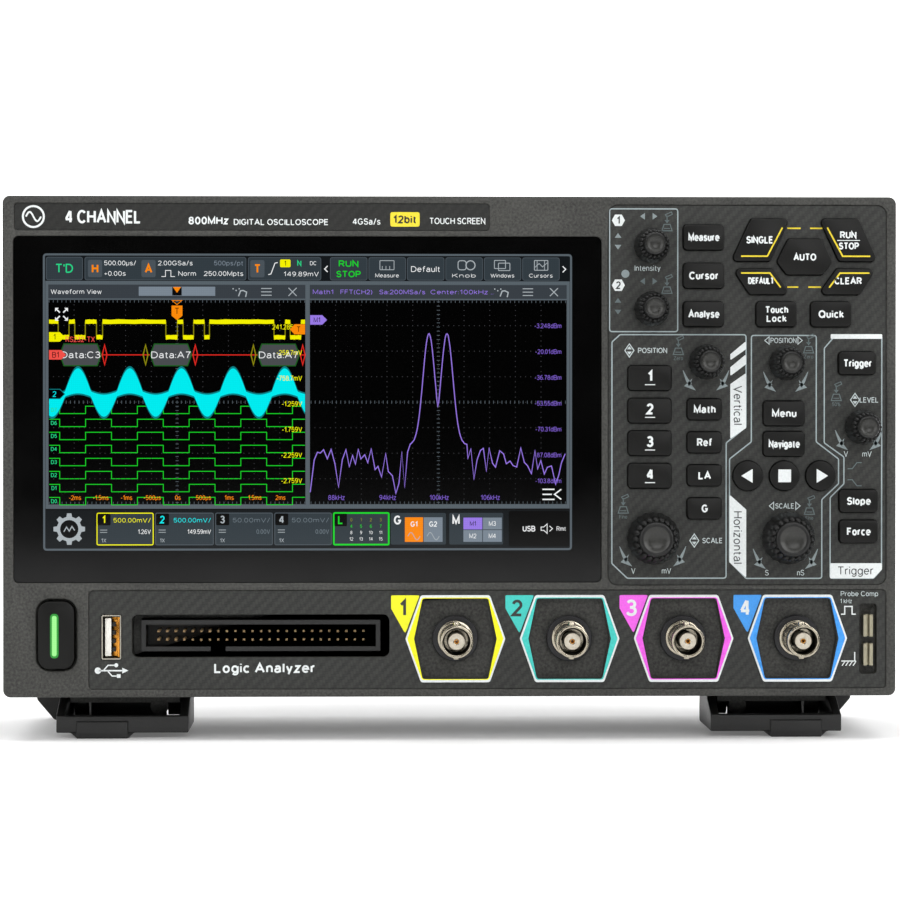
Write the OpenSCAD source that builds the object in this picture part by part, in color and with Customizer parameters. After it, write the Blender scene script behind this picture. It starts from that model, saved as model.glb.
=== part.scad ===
// Bench oscilloscope: a two-shell plastic case with a touch screen, a keypad, seven rotary
// controls, four BNC inputs, a logic probe header, flip-out front legs and a rear fan.
// Millimetres. X runs to the right, Y to the back and Z up, with the table at Z = 0.

/* [Case] */
// Width of the case
body_w = 265.4; // [264:0.2:330]
// Height of the case, without its feet
body_h = 148.6; // [148:0.2:185]
// Depth from the front panel to the rear face
body_d = 77; // [75:0.5:100]
// Depth of the front bezel
bezel_d = 20; // [20:0.5:24]
// Wall of both shells
wall = 2.4; // [2:0.1:3]
// Thickness of the bezel's front wall
face_t = 3.6; // [3:0.1:4.4]
// Radius of the case's long edges
corner_r = 2.2; // [1:0.1:3]
// Height of the case above the table
foot_h = 13.2; // [12:0.1:16]
// Step from the bezel down to the rear cover
cover_step = 0.5; // [0.2:0.1:0.8]

/* [Display] */
// Width of the touch glass
glass_w = 174; // [160:0.5:174.5]
// Height of the touch glass
glass_h = 102.4; // [98:0.5:103]
// Thickness of the touch glass
glass_t = 1.9; // [1.1:0.1:2.2]
// Left edge of the case to the glass
glass_side = 3.3; // [2.8:0.1:4]
// Top edge of the case to the glass
glass_top = 12.1; // [11.6:0.1:13]
// Width of the lit area
view_w = 156.8; // [140:0.2:157]
// Height of the lit area
view_h = 88; // [80:0.2:88.5]

/* [Overlays] */
// Thickness of the printed overlays
film_t = 0.4; // [0.2:0.1:0.6]
// How far the overlays lie below the bezel's face
film_sink = 0.4; // [0.2:0.1:0.6]

/* [Keys] */
// How far the keys stand out of the panel
key_proud = 1.4; // [1:0.1:2.2]
// Travel of a key
key_travel = 0.8; // [0.4:0.1:0.9]
// Gap round a key
key_gap = 0.2; // [0.15:0.05:0.3]
// Width of the flange that keeps a key in
key_flange = 0.5; // [0.4:0.05:0.55]

/* [Knobs] */
// How far the knobs stand out of the panel
knob_proud = 14; // [12:0.5:16]
// Push travel of a knob
knob_push = 0.5; // [0.3:0.1:0.8]
// Skirt diameter of a small knob
small_knob_d = 10.5; // [10.3:0.1:12]
// Skirt diameter of a large knob
large_knob_d = 15.7; // [14:0.1:17]
// Diameter of the encoder shafts
shaft_d = 6; // [5:0.1:6]
// Radial running gap of the shafts
shaft_gap = 0.05; // [0.02:0.01:0.1]

/* [Connectors] */
// Distance between neighbouring inputs
input_pitch = 34; // [32.4:0.1:35]
// Outer diameter of the BNC barrels
bnc_d = 9.6; // [9.5:0.05:9.7]
// Length that the BNC barrels stand out of the panel
bnc_proud = 13.5; // [11:0.5:14]
// Contacts in one row of the probe header
header_count = 25; // [17:1:25]
// Distance between the header's contacts
header_pitch = 2.54; // [2:0.01:2.54]

/* [Legs] */
// Width of a front leg
leg_w = 39.5; // [36:0.5:44]
// Length of a front leg
leg_l = 33; // [30:0.5:36]
// Front panel to the legs
leg_front = 10; // [8:0.5:11]
// Diameter of the leg pins
leg_pin_d = 3.9; // [3:0.1:4.1]
// Radial running gap of the leg pins
leg_pin_gap = 0.05; // [0.02:0.01:0.1]

/* [Rear] */
// Side of the square screen-mount pattern
mount_pitch = 100; // [75:25:100]
// Side of the square fan
fan_w = 60; // [50:1:60]
// Depth of the fan
fan_d = 15; // [10:1:20]

/* [Hidden] */
$fn = 48;
eps = 0.01;
knob_names = ["function_1", "function_2", "vertical_position", "horizontal_position",
    "trigger_level", "vertical_scale", "horizontal_scale"];

// Edges of the case, and the place of the front panel that centres the whole depth on Y = 0
right_x = body_w / 2;
left_x = -right_x;
top_z = foot_h + body_h;
mid_z = foot_h + body_h / 2;
front_y = knob_proud - (body_d + knob_proud) / 2;
cover_low = foot_h + cover_step;

// Overlays: each is [centre x, centre z, width, height, corner radius]
film_pocket = film_t + film_sink;
film_gap = 0.15;
name_film = [left_x + 73.8, top_z - 6.2, 140.4, 7.8, 1];
control_film = [right_x - 44.4, top_z - 59, 82.8, 112.8, 2.7];
input_right = 29.4;
input_low = 17.2;
lower_left = 25.4;
lower_right = 3;
lower_film = [(left_x + lower_left + right_x - lower_right) / 2, foot_h + 16.95,
    body_w - lower_left - lower_right, 29.1, 1.2];

// Touch glass, and the lit area behind it
glass_r = 1.5;
glass_gap = 0.2;
glass_seat = glass_t + 0.3;
glass_x = left_x + glass_side + glass_w / 2;
glass_z = top_z - glass_top - glass_h / 2;
view_x = glass_x;
view_z = glass_z + 2.2;
view_rim = 1.2;
lcd_rim_w = 4.1;
lcd_rim_h = 6;
lcd_t = 5.7;

// Keys: each outline is [name, x from the right edge, z from the top edge, width, height]
key_r = 1.2;
flange_t = 1;
flange_y = face_t + 0.15;
stem_d = 3;
dome_gap = 0.4;
dome_d = 4.5;
dome_h = 0.7;
stem_end = flange_y + flange_t + 0.5;
dome_y = stem_end + key_travel + dome_gap;
membrane_y = dome_y + dome_h;
membrane_t = 1;
board_y = membrane_y + membrane_t;
board_t = 1.6;
rect_keys = concat([
    ["key_measure", 57.6, 12.1, 12.1, 7.5], ["key_cursor", 57.6, 23.5, 12.1, 7.5],
    ["key_analyse", 57.6, 34.9, 12.1, 7.5], ["key_touch_lock", 35.9, 34.9, 12, 7.5],
    ["key_quick", 19.6, 34.9, 12.1, 7.5], ["key_menu", 33.6, 64.4, 12.3, 7.4],
    ["key_navigate", 33.6, 73.5, 12.3, 7.4], ["key_trigger", 11.7, 49.5, 11.2, 6.8],
    ["key_slope", 11.3, 90.5, 11.5, 6.8], ["key_force", 11.3, 99.6, 11.5, 6.8]],
    [for (i = [0:3]) [str("key_channel_", i + 1), 73.6, 53.9 + 9.7 * i, 12.9, 7.4]],
    [for (i = [0:3]) [["key_math", "key_reference", "key_logic", "key_generator"][i],
        57.3, 63.2 + 9.83 * i, 10.3, 6.3]]);
round_key_d = 8.9;
round_keys = [for (i = [0:2]) [["key_left", "key_stop", "key_right"][i], 44.3 - 10.85 * i, 83]];

// Slanted keys: corners from the group's axis and from the top edge, anticlockwise
group_x = right_x - 27.5;
single_corners = [[-21.9, -19.2], [-10.3, -19.2], [-4.4, -6.5], [-16, -6.5]];
default_corners = [[-16.4, -29.1], [-4.1, -29.1], [-9.6, -21.3], [-21.4, -21.5]];
auto_corners = [[-5.4, -23.2], [5.4, -23.2], [8.3, -19.3], [4.9, -12.5], [-4.9, -12.5], [-8.3, -19.3]];
shaped_keys = [["key_single", single_corners], ["key_run_stop", flipped(single_corners)],
    ["key_default", default_corners], ["key_clear", flipped(default_corners)],
    ["key_auto", auto_corners]];
power_x = left_x + 15.8;
power_z = foot_h + 18.5;
power_w = 10.6;
power_h = 19.9;
power_r = 3.3;
power_rim = 0.7;
power_recess = 1.2;
switch_w = 6;

// Knobs: each is [x from the right edge, z from the top edge, skirt diameter]
knobs = [[73.2, 14.7, small_knob_d], [73.2, 33.4, small_knob_d], [56.9, 49.2, small_knob_d],
    [33, 49.5, small_knob_d], [10.4, 68.5, small_knob_d], [72.7, 101.5, large_knob_d],
    [32.5, 101.5, large_knob_d]];
knob_cap_share = 0.78;
knob_rear = -0.9;
knob_roof = 2.4;
knob_socket_gap = 0.7;
skirt_h = 3.4;
bushing_d = 7.6;
bushing_front = -1.2;
bushing_gap = 0.2;
encoder_w = 11.7;
shaft_rear = board_y - 0.8;
shaft_front = knob_roof - knob_proud + knob_push + knob_socket_gap;
shaft_flat = shaft_d / 4;

// Inputs: coloured frames round a six-sided recess with the BNC in its floor
input_z = foot_h + input_low;
input_xs = [for (i = [3:-1:0]) right_x - input_right - input_pitch * i];
frame_outer = [29.8, 20.6, 26];
frame_inner = [23.6, 19.4, 23.6];
frame_t = 0.6;
recess_floor = 3.2;
recess_back = 3;
recess_pad = 27;
bnc_bore_d = 8.1;
bnc_core_d = 4.8;
bnc_shank_d = 12;
bnc_collar_d = 10.5;
bnc_lug_d = 1.9;
bnc_lug_tip = 5.5;
bnc_lug_back = 5.2;
bnc_guide_l = 4;
bnc_relief = 0.4;
bnc_block = 14.5;
shank_gap = 0.15;

// Small connectors of the lower panel: USB, probe header and probe calibration terminals
usb_x = left_x + 32;
usb_z = foot_h + 17.8;
usb_w = 5.8;
usb_h = 13.2;
usb_wall = 0.35;
usb_gap = 0.25;
header_x = left_x + 76.2;
header_z = foot_h + 18.1;
header_wall = 1.3;
header_w = header_pitch * (header_count - 1) + 10;
header_h = 9.2;
header_front = 2.5;
header_gap = 0.2;
header_floor = 8;
header_ring = 2.75;
header_ring_z = 1.8;
tub_wall = 1.4;
notch_w = 4.5;
notch_x = -12.7;
probe_x = right_x - 8.25;
probe_z = foot_h + 17;
probe_slot_w = 5.3;
probe_slot_h = 21;
probe_zs = [foot_h + 12.3, foot_h + 20.9];
probe_tab_h = 6.5;
probe_pin_d = 1.2;

// Boards, screws and posts
input_board_y = 14.6;
main_board_y = 38;
post_inset = 6.4;
post_d = 7.4;
screw_d = 3;
screw_head_d = 5.6;
screw_gap = 0.1;
screw_seat = bezel_d + 6;
small_screw_d = 2.4;
small_head_d = 4.4;
small_post_d = 4.4;
case_posts = [for (x = [left_x + post_inset, right_x - post_inset],
    z = [foot_h + post_inset, top_z - post_inset]) [x, z]];
control_posts = [[right_x - 83.2, top_z - 6.3], [group_x, top_z - 6.3],
    [right_x - 83.2, top_z - 112.3], [right_x - 6.2, top_z - 112.3]];
input_posts = [for (x = [left_x + 25.2, input_xs[0] - recess_pad / 2 - 1,
    input_xs[0] + input_pitch / 2, input_xs[2] + input_pitch / 2]) [x, foot_h + 27.8]];
board_posts = [for (x = [left_x + 24, right_x - 24], z = [foot_h + 16, top_z - 18]) [x, z]];

// Rear: fan, connector bay, screen mount and vents
rear_in = body_d - wall;
fan_x = right_x - 58;
fan_z = mid_z + 8;
fan_duct_d = fan_w - 4;
fan_hole_pitch = fan_w * 5 / 6;
fan_screw_d = 3.6;
fan_head_d = 6.6;
fan_sink = 1.2;
fan_axle_d = 3;
fan_axle_gap = 0.05;
fan_hub_d = 24;
blade_count = 7;
bay_w = 88;
bay_h = 26;
bay_d = 16;
bay_z = foot_h + 19;
bay_wall = 2;
bay_floor = body_d - bay_d;
aux_x = 31;
socket_depth = 12;
mount_hole_d = 4;
mount_boss_d = 9;
mount_hole_l = 8;
mount_holes = [for (x = [-mount_pitch / 2, mount_pitch / 2], z = [-mount_pitch / 2, mount_pitch / 2])
    [x, mid_z + z]];
vent_w = 2.4;
vent_h = 60;
vent_pitch = 5;

// Front legs: a channel-shaped leg on two lugs, its side walls outside the lugs
leg_x = right_x - 34.45;
leg_low = 1.7;
leg_bar_h = 5;
leg_bar_t = 4;
leg_plate_t = 2.2;
leg_side_t = 2.6;
leg_pivot_y = leg_front + leg_l - 5;
leg_pivot_z = foot_h - 4.7;
leg_back_r = 4.3;
leg_clear = 0.6;
lug_r = 4;
lug_t = 4.4;
strip_h = 3.4;
leg_web_w = leg_w - 2 * (leg_side_t + lug_t) - 4 * leg_clear;
pad_rise = 0.7;
pad_w = 19;
pad_tip_w = 15.4;
pad_l = 9;
pad_t = 1.7;

// Mirrors an outline left to right and keeps it anticlockwise
function flipped(pts) = [for (i = [len(pts) - 1:-1:0]) [-pts[i][0], pts[i][1]]];

function unit(v) = v / norm(v);

// Points of a convex outline whose corners have radius r, grown outwards by grow
function rounded(pts, r, grow = 0, n = 4) = [for (i = [0:len(pts) - 1], j = [0:n])
    let (p = pts[i], a = unit(pts[(i + len(pts) - 1) % len(pts)] - p),
        b = unit(pts[(i + 1) % len(pts)] - p), half = acos(a * b) / 2,
        start = atan2(a[0], -a[1]), turn = start + (180 - 2 * half) * j / n)
    p + unit(a + b) * r / sin(half) + (r + grow) * [cos(turn), sin(turn)]];

// Six-sided outline of a channel: size is [width at the middle, width at the top, height]
function hexagon(size) = let (m = size[0] / 2, t = size[1] / 2, h = size[2] / 2)
    [[-t, -h], [t, -h], [m, 0], [t, h], [-t, h], [-m, 0]];

function moved(pts, at) = [for (p = pts) p + at];

// Everything is drawn with Y = 0 on the front panel and then moved to its place
module placed() translate([0, front_y, 0]) children();

// A flat outline in X and Z, extruded backwards from y by t
module slab(y, t) translate([0, y + t, 0]) rotate([90, 0, 0]) linear_extrude(t) children();

// A rod along Y from y0 to y1 at the place at
module rod(at, d, y0, y1) translate([at[0], y0, at[1]]) rotate([-90, 0, 0]) cylinder(d = d, h = y1 - y0);

module round_rect(w, h, r) {
    square([w - 2 * r, h], center = true);
    square([w, h - 2 * r], center = true);
    for (x = [-1, 1], z = [-1, 1]) translate([x * (w / 2 - r), z * (h / 2 - r)]) circle(r);
}

module panel(p, grow = 0) translate([p[0], p[1]]) round_rect(p[2] + 2 * grow, p[3] + 2 * grow, p[4] + grow);

module case_outline(inset) translate([0, mid_z])
    round_rect(body_w - 2 * inset, body_h - 2 * inset, corner_r);

function key_at(k) = [right_x - k[1], top_z - k[2]];

function centre_of(pts) = [for (axis = [0, 1]) let (v = [for (p = pts) p[axis]]) (min(v) + max(v)) / 2];

module rect_outline(k, grow) translate(key_at(k)) round_rect(k[3] + 2 * grow, k[4] + 2 * grow, key_r + grow);

module round_outline(k, grow) translate(key_at(k)) circle(d = round_key_d + 2 * grow);

module shaped_outline(k, grow) polygon(rounded(moved(k[1], [group_x, top_z]), key_r, grow));

module power_outline(grow) translate([power_x, power_z])
    round_rect(power_w + 2 * grow, power_h + 2 * grow, power_r + grow);

// Every key and bushing opening of the control panel
module control_openings() {
    for (k = rect_keys) rect_outline(k, key_gap);
    for (k = round_keys) round_outline(k, key_gap);
    for (k = shaped_keys) shaped_outline(k, key_gap);
    for (k = knobs) translate(key_at([0, k[0], k[1]])) circle(d = bushing_d + 2 * bushing_gap);
}

module input_outline(x, size, grow = 0) polygon(rounded(moved(hexagon(size), [x, input_z]), 1, grow));

// Openings of the lower panel; recess is true for the recesses and false for the through holes
module lower_openings() {
    for (x = input_xs) input_outline(x, frame_inner);
    translate([usb_x, usb_z]) round_rect(usb_w + 2 * usb_gap, usb_h + 2 * usb_gap, 0.6);
    translate([header_x, header_z])
        round_rect(header_w + 2 * header_ring, header_h + 2 * header_ring_z, 2);
    translate([probe_x, probe_z]) round_rect(probe_slot_w, probe_slot_h, 1);
}

module front_bezel() color("dimgray") placed() difference() {
    union() {
        difference() {
            slab(0, bezel_d) case_outline(0);
            slab(face_t, bezel_d) case_outline(wall);
        }
        for (p = case_posts) rod(p, post_d, face_t - 1, bezel_d);
        for (p = control_posts) rod(p, small_post_d, face_t - 1, board_y);
        for (p = input_posts) rod(p, small_post_d, face_t - 1, input_board_y);
        for (x = input_xs) slab(face_t - 1, recess_floor + recess_back - face_t + 1)
            translate([x, input_z]) square(recess_pad, center = true);
        slab(face_t - 1, header_floor + tub_wall - face_t + 1) translate([header_x, header_z])
            square([header_w + 2 * (header_ring + tub_wall), header_h + 2 * (header_ring_z + tub_wall)],
                center = true);
        slab(face_t - 1, 3) translate([probe_x, probe_z])
            square([probe_slot_w + 2, probe_slot_h + 2], center = true);
    }
    slab(-1, 1 + glass_seat) panel([glass_x, glass_z, glass_w, glass_h, glass_r], glass_gap);
    slab(-1, face_t + 2) panel([view_x, view_z, view_w, view_h, 1], view_rim);
    for (p = [name_film, control_film, lower_film]) slab(-1, 1 + film_pocket) panel(p, film_gap);
    slab(-1, face_t + 2) control_openings();
    slab(-1, 1 + power_recess) power_outline(power_rim);
    slab(-1, face_t + 2) power_outline(key_gap);
    for (x = input_xs) {
        slab(-1, 1 + recess_floor) input_outline(x, frame_inner);
        rod([x, input_z], bnc_shank_d + 2 * shank_gap, 0, face_t + recess_back);
    }
    slab(-1, face_t + 2) translate([usb_x, usb_z]) round_rect(usb_w + 2 * usb_gap, usb_h + 2 * usb_gap, 0.6);
    slab(-1, 1 + header_floor) translate([header_x, header_z])
        round_rect(header_w + 2 * header_ring, header_h + 2 * header_ring_z, 2);
    slab(0, header_floor + 3) translate([header_x, header_z])
        square([header_w + 2 * header_gap, header_h + 2 * header_gap], center = true);
    slab(-1, 1 + face_t) translate([probe_x, probe_z]) round_rect(probe_slot_w, probe_slot_h, 1);
    for (z = probe_zs) rod([probe_x, z], probe_pin_d + 0.4, 0, face_t + 4);
    for (p = case_posts) rod(p, screw_d + screw_gap, face_t + 3, bezel_d + 1);
    for (p = control_posts) rod(p, small_screw_d + screw_gap, face_t, board_y + 1);
    for (p = input_posts) rod(p, small_screw_d + screw_gap, face_t + 1, input_board_y + 1);
}

// One hinge strip of the rear cover, with the lugs that carry a leg
module leg_bracket(x) {
    strip_w = leg_w - 2 * leg_side_t - 2 * leg_clear;
    translate([x - strip_w / 2, bezel_d + 1, cover_low - strip_h - cover_step])
        cube([strip_w, leg_pivot_y - bezel_d + 3, strip_h + cover_step + 1]);
    for (s = [-1, 1]) translate([x + s * (strip_w - lug_t) / 2, leg_pivot_y, leg_pivot_z])
        rotate([0, 90, 0]) cylinder(r = lug_r, h = lug_t, center = true);
    rod([x - sign(x) * 10.3, leg_pivot_z], 5.4, bezel_d + 2, bezel_d + 9);
}

module rear_cover() color("darkslategray") placed() difference() {
    union() {
        difference() {
            slab(bezel_d, body_d - bezel_d) case_outline(cover_step);
            slab(bezel_d - 1, rear_in - bezel_d + 1) case_outline(cover_step + wall);
        }
        for (p = case_posts) rod(p, post_d, bezel_d, rear_in + 1);
        for (p = board_posts) rod(p, post_d, main_board_y + board_t, rear_in + 1);
        for (p = mount_holes) rod(p, mount_boss_d, rear_in - mount_hole_l, body_d);
        slab(bay_floor - bay_wall, bay_d) translate([0, bay_z])
            square([bay_w + 2 * bay_wall, bay_h + 2 * bay_wall], center = true);
        for (x = [-leg_x, leg_x]) leg_bracket(x);
    }
    slab(bay_floor, bay_d + 1) translate([0, bay_z]) round_rect(bay_w, bay_h, 2);
    slab(bay_floor - bay_wall - 1, bay_wall + 2) rear_sockets(0.4);
    rod([aux_x, bay_z], bnc_shank_d + 2 * shank_gap, bay_floor - bay_wall - 1, bay_floor + 1);
    for (p = case_posts) {
        rod(p, screw_head_d + 1, screw_seat, body_d + 1);
        rod(p, screw_d + 2 * screw_gap, bezel_d - 1, body_d);
    }
    for (p = board_posts) rod(p, screw_d + screw_gap, main_board_y, main_board_y + 14);
    for (p = mount_holes) rod(p, mount_hole_d, body_d - mount_hole_l, body_d + 1);
    fan_grille();
    for (x = fan_corners(), z = fan_corners()) {
        rod([fan_x + x, fan_z + z], fan_screw_d + 0.4, rear_in - 1, body_d + 1);
        rod([fan_x + x, fan_z + z], fan_head_d + 0.4, body_d - fan_sink, body_d + 1);
    }
    for (side = [-1, 1], i = [0:6])
        translate([side * right_x - wall - 2, bezel_d + 14 + vent_pitch * i, mid_z - vent_h / 2])
            cube([2 * wall + 4, vent_w, vent_h]);
    translate([left_x + 20, rear_in - 1, mid_z - 1.5]) cube([7, wall + 2, 3]);
    for (x = [-leg_x, leg_x]) translate([x, leg_pivot_y, leg_pivot_z]) rotate([0, 90, 0])
        cylinder(d = leg_pin_d + 2 * leg_pin_gap, h = leg_w, center = true);
}

function fan_corners() = [-fan_hole_pitch / 2, fan_hole_pitch / 2];

// Level slots that fill the circle of the fan's duct
module fan_grille() {
    pitch = 5.6;
    slots = floor((fan_duct_d / 2 - 2) / pitch);
    for (i = [-slots:slots]) {
        reach = sqrt(pow(fan_duct_d / 2, 2) - pow(i * pitch, 2));
        translate([fan_x - reach, rear_in - 1, fan_z + i * pitch - 1.5]) cube([2 * reach, wall + 2, 3]);
    }
}

// Rear sockets in the bay, left to right: network, USB device, video and power
module rear_sockets(grow) {
    sockets = [[-33.5, 16, 13.6], [-14, 12, 10.8], [4, 14.8, 5.6], [18.5, 9, 3.4]];
    for (s = sockets) translate([s[0], bay_z]) square([s[1] + 2 * grow, s[2] + 2 * grow], center = true);
}

module touch_glass() color([0.05, 0.05, 0.06]) placed()
    slab(glass_seat - glass_t, glass_t) panel([glass_x, glass_z, glass_w, glass_h, glass_r]);

module lcd_module() color("silver") placed() {
    slab(face_t, lcd_t) translate([view_x, view_z])
        square([view_w + 2 * lcd_rim_w, view_h + 2 * lcd_rim_h], center = true);
    slab(glass_seat, face_t - glass_seat + 1) translate([view_x, view_z])
        square([view_w + 1.4, view_h + 1.4], center = true);
}

module panel_overlays() color([0.24, 0.26, 0.27]) placed() {
    slab(film_sink, film_t) panel(name_film);
    difference() {
        slab(film_sink, film_t) panel(control_film);
        slab(film_sink - 1, film_t + 2) control_openings();
    }
    difference() {
        slab(film_sink, film_t) panel(lower_film);
        slab(film_sink - 1, film_t + 2) lower_openings();
    }
}

module keypad_membrane() color([0.75, 0.75, 0.72]) placed() difference() {
    union() {
        slab(membrane_y, membrane_t) panel(control_film, -2);
        for (k = concat(rect_keys, round_keys)) rod(key_at(k), dome_d, dome_y, membrane_y + membrane_t / 2);
        for (k = shaped_keys) rod(shaped_centre(k), dome_d, dome_y, membrane_y + membrane_t / 2);
    }
    for (k = knobs) slab(dome_y, board_y) translate(key_at([0, k[0], k[1]]))
        square(encoder_w + 1, center = true);
    for (p = control_posts) rod(p, small_post_d + 1, dome_y, board_y + 1);
    for (p = case_posts) rod(p, post_d + 1, dome_y, board_y + 1);
}

function shaped_centre(k) = centre_of(moved(k[1], [group_x, top_z]));

// The keypad's circuit board, with the seven rotary encoders on it
module control_board() color("darkgreen") placed() {
    difference() {
        slab(board_y, board_t) panel(control_film, -0.8);
        for (p = control_posts) rod(p, small_screw_d + screw_gap, board_y - 1, board_y + board_t + 1);
        for (p = case_posts) rod(p, post_d + 1, board_y - 1, board_y + board_t + 1);
    }
    for (k = knobs) difference() {
        union() {
            slab(face_t + 0.2, board_y - face_t - 0.2) translate(key_at([0, k[0], k[1]]))
                square(encoder_w, center = true);
            rod(key_at([0, k[0], k[1]]), bushing_d - 0.6, bushing_front, board_y - 1);
        }
        rod(key_at([0, k[0], k[1]]), shaft_d + 2 * shaft_gap, bushing_front - 1, shaft_rear + 0.2);
    }
}

// The input board behind the connectors and the main board behind it, with their tall parts
module main_board() color("green") placed() {
    difference() {
        slab(input_board_y, board_t) {
            translate([left_x + 5.5, foot_h + 11.3]) square([body_w - 9.3, 20]);
            translate([left_x + lower_left, foot_h + 4]) square([body_w - lower_left - 14, 8]);
        }
        for (p = input_posts) rod(p, small_screw_d + screw_gap, input_board_y - 1, input_board_y + 3);
    }
    slab(stem_end + key_travel + dome_gap, input_board_y - stem_end - key_travel - dome_gap)
        translate([power_x, power_z]) square(switch_w, center = true);
    for (x = [-60, 60]) translate([x - 20, input_board_y + board_t, foot_h + 19])
        cube([40, main_board_y - input_board_y - board_t, 6]);
    difference() {
        slab(main_board_y, board_t) translate([0, mid_z]) square([body_w - 36, body_h - 24], center = true);
        for (p = board_posts) rod(p, screw_d + screw_gap, main_board_y - 1, main_board_y + 4);
    }
    for (x = [-70, -10]) translate([x - 22, main_board_y - 6, mid_z - 10]) cube([44, 6, 50]);
    translate([fan_x - 24, main_board_y + board_t, fan_z - 22]) cube([48, 3, 44]);
    for (i = [0:8]) translate([fan_x - 24 + 5.8 * i, main_board_y + board_t + 3, fan_z - 22])
        cube([1.6, rear_in - fan_d - 4 - main_board_y - board_t - 3, 44]);
}

// A bulkhead BNC along Y: mouth at y = -proud, with its block behind the recess floor at floor_y
module bnc(at, proud, floor_y, back_y) {
    translate([at[0], 0, at[1]]) {
        difference() {
            union() {
                translate([0, -proud, 0]) rotate([-90, 0, 0]) cylinder(d = bnc_d, h = bnc_guide_l);
                translate([0, bnc_guide_l - proud - 1, 0]) rotate([-90, 0, 0])
                    cylinder(d = bnc_d - bnc_relief, h = proud - bnc_guide_l + 1 + floor_y);
                translate([0, floor_y - 2.2, 0]) rotate([-90, 0, 0]) cylinder(d = bnc_collar_d, h = 3);
                translate([0, floor_y - 0.6, 0]) rotate([-90, 0, 0])
                    cylinder(d = bnc_shank_d, h = recess_back + 1);
                for (s = [-1, 1]) translate([0, bnc_lug_back - proud, 0]) rotate([s * 90 - 90, 0, 0])
                    cylinder(d = bnc_lug_d, h = bnc_lug_tip);
            }
            translate([0, -proud - 1, 0]) rotate([-90, 0, 0]) cylinder(d = bnc_bore_d, h = proud);
        }
        difference() {
            translate([0, -proud + 0.9, 0]) rotate([-90, 0, 0]) cylinder(d = bnc_core_d, h = proud - 1);
            translate([0, -proud, 0]) rotate([-90, 0, 0]) cylinder(d = 1.4, h = 6);
        }
        translate([-bnc_block / 2, floor_y + recess_back, -bnc_block / 2])
            cube([bnc_block, back_y - floor_y - recess_back, bnc_block]);
    }
}

module bnc_connectors() color("lightgray") placed() {
    for (x = input_xs) bnc([x, input_z], bnc_proud, recess_floor, input_board_y);
    translate([0, bay_floor - bay_wall, 0]) mirror([0, 1, 0])
        bnc([aux_x, bay_z], 13, -bay_wall, bay_floor - bay_wall - main_board_y - board_t);
}

module channel_frames() placed() for (i = [0:3])
    color(["yellow", "turquoise", "violet", "deepskyblue"][i]) difference() {
        slab(film_sink - frame_t, frame_t) input_outline(input_xs[i], frame_outer);
        slab(-1, 3) input_outline(input_xs[i], frame_inner);
    }

// The metal sockets: the USB socket of the front panel and the four of the rear bay
module sockets() color("silver") placed() {
    difference() {
        slab(0.2, input_board_y - 0.2) translate([usb_x, usb_z]) round_rect(usb_w, usb_h, 0.5);
        slab(-1, input_board_y - 1) translate([usb_x, usb_z])
            square([usb_w - 2 * usb_wall, usb_h - 2 * usb_wall], center = true);
    }
    slab(1.4, input_board_y - 2) translate([usb_x - 1, usb_z]) square([1.8, 11], center = true);
    difference() {
        slab(main_board_y + board_t, bay_floor - 0.5 - main_board_y - board_t) rear_sockets(0);
        slab(bay_floor - socket_depth, socket_depth + 1) rear_sockets(-1);
    }
}

module logic_header() color([0.08, 0.08, 0.08]) placed() difference() {
    slab(header_front, input_board_y - header_front) translate([header_x, header_z])
        square([header_w, header_h], center = true);
    slab(0, input_board_y - 2) translate([header_x, header_z])
        square([header_w - 2 * header_wall, header_h - 2 * header_wall], center = true);
    slab(0, input_board_y - 4) translate([header_x + notch_x, header_z - header_h / 2])
        square([notch_w, 2 * header_wall + 1], center = true);
}

module probe_terminals() color("silver") placed() for (z = probe_zs) {
    for (s = [-1, 1]) translate([probe_x + s * 0.9 - 0.5, -0.2, z - probe_tab_h / 2])
        cube([1, face_t + 0.2, probe_tab_h]);
    translate([probe_x - 1.4, face_t - 0.8, z - probe_tab_h / 2]) cube([2.8, 0.8, probe_tab_h]);
    rod([probe_x, z], probe_pin_d, face_t - 0.4, input_board_y);
}

// Two feet under the back edge, each with a rounded outer corner
module rear_feet() color([0.12, 0.12, 0.12]) placed() for (s = [-1, 1]) slab(body_d - 9, 8)
    polygon(rounded(s > 0 ? foot_corners : flipped(foot_corners), 1.5));

foot_corners = [[right_x - 32, 0], [right_x - 8.5, 0], [right_x - 3, 6.4], [right_x - 2, cover_low],
    [right_x - 33, cover_low]];

// A screw along Y with its head at y, pointing to the front (dir = -1) or to the back (dir = 1)
module screw(at, y, dir, d, head_d, length, head_h = 1.8) {
    rod(at, d, min(y, y + dir * length), max(y, y + dir * length));
    rod(at, head_d, min(y, y - dir * head_h), max(y, y - dir * head_h));
}

module case_screws() color("dimgray") placed() {
    for (p = case_posts) screw(p, screw_seat, -1, screw_d, screw_head_d, 16);
    for (p = control_posts) screw(p, board_y + board_t, -1, small_screw_d, small_head_d, 5);
    for (p = input_posts) screw(p, input_board_y + board_t, -1, small_screw_d, small_head_d, 8);
    for (p = board_posts) screw(p, main_board_y, 1, screw_d, screw_head_d, 12);
    for (x = fan_corners(), z = fan_corners())
        screw([fan_x + x, fan_z + z], body_d - fan_sink, -1, fan_screw_d, fan_head_d, wall + 6, fan_sink);
}

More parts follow.
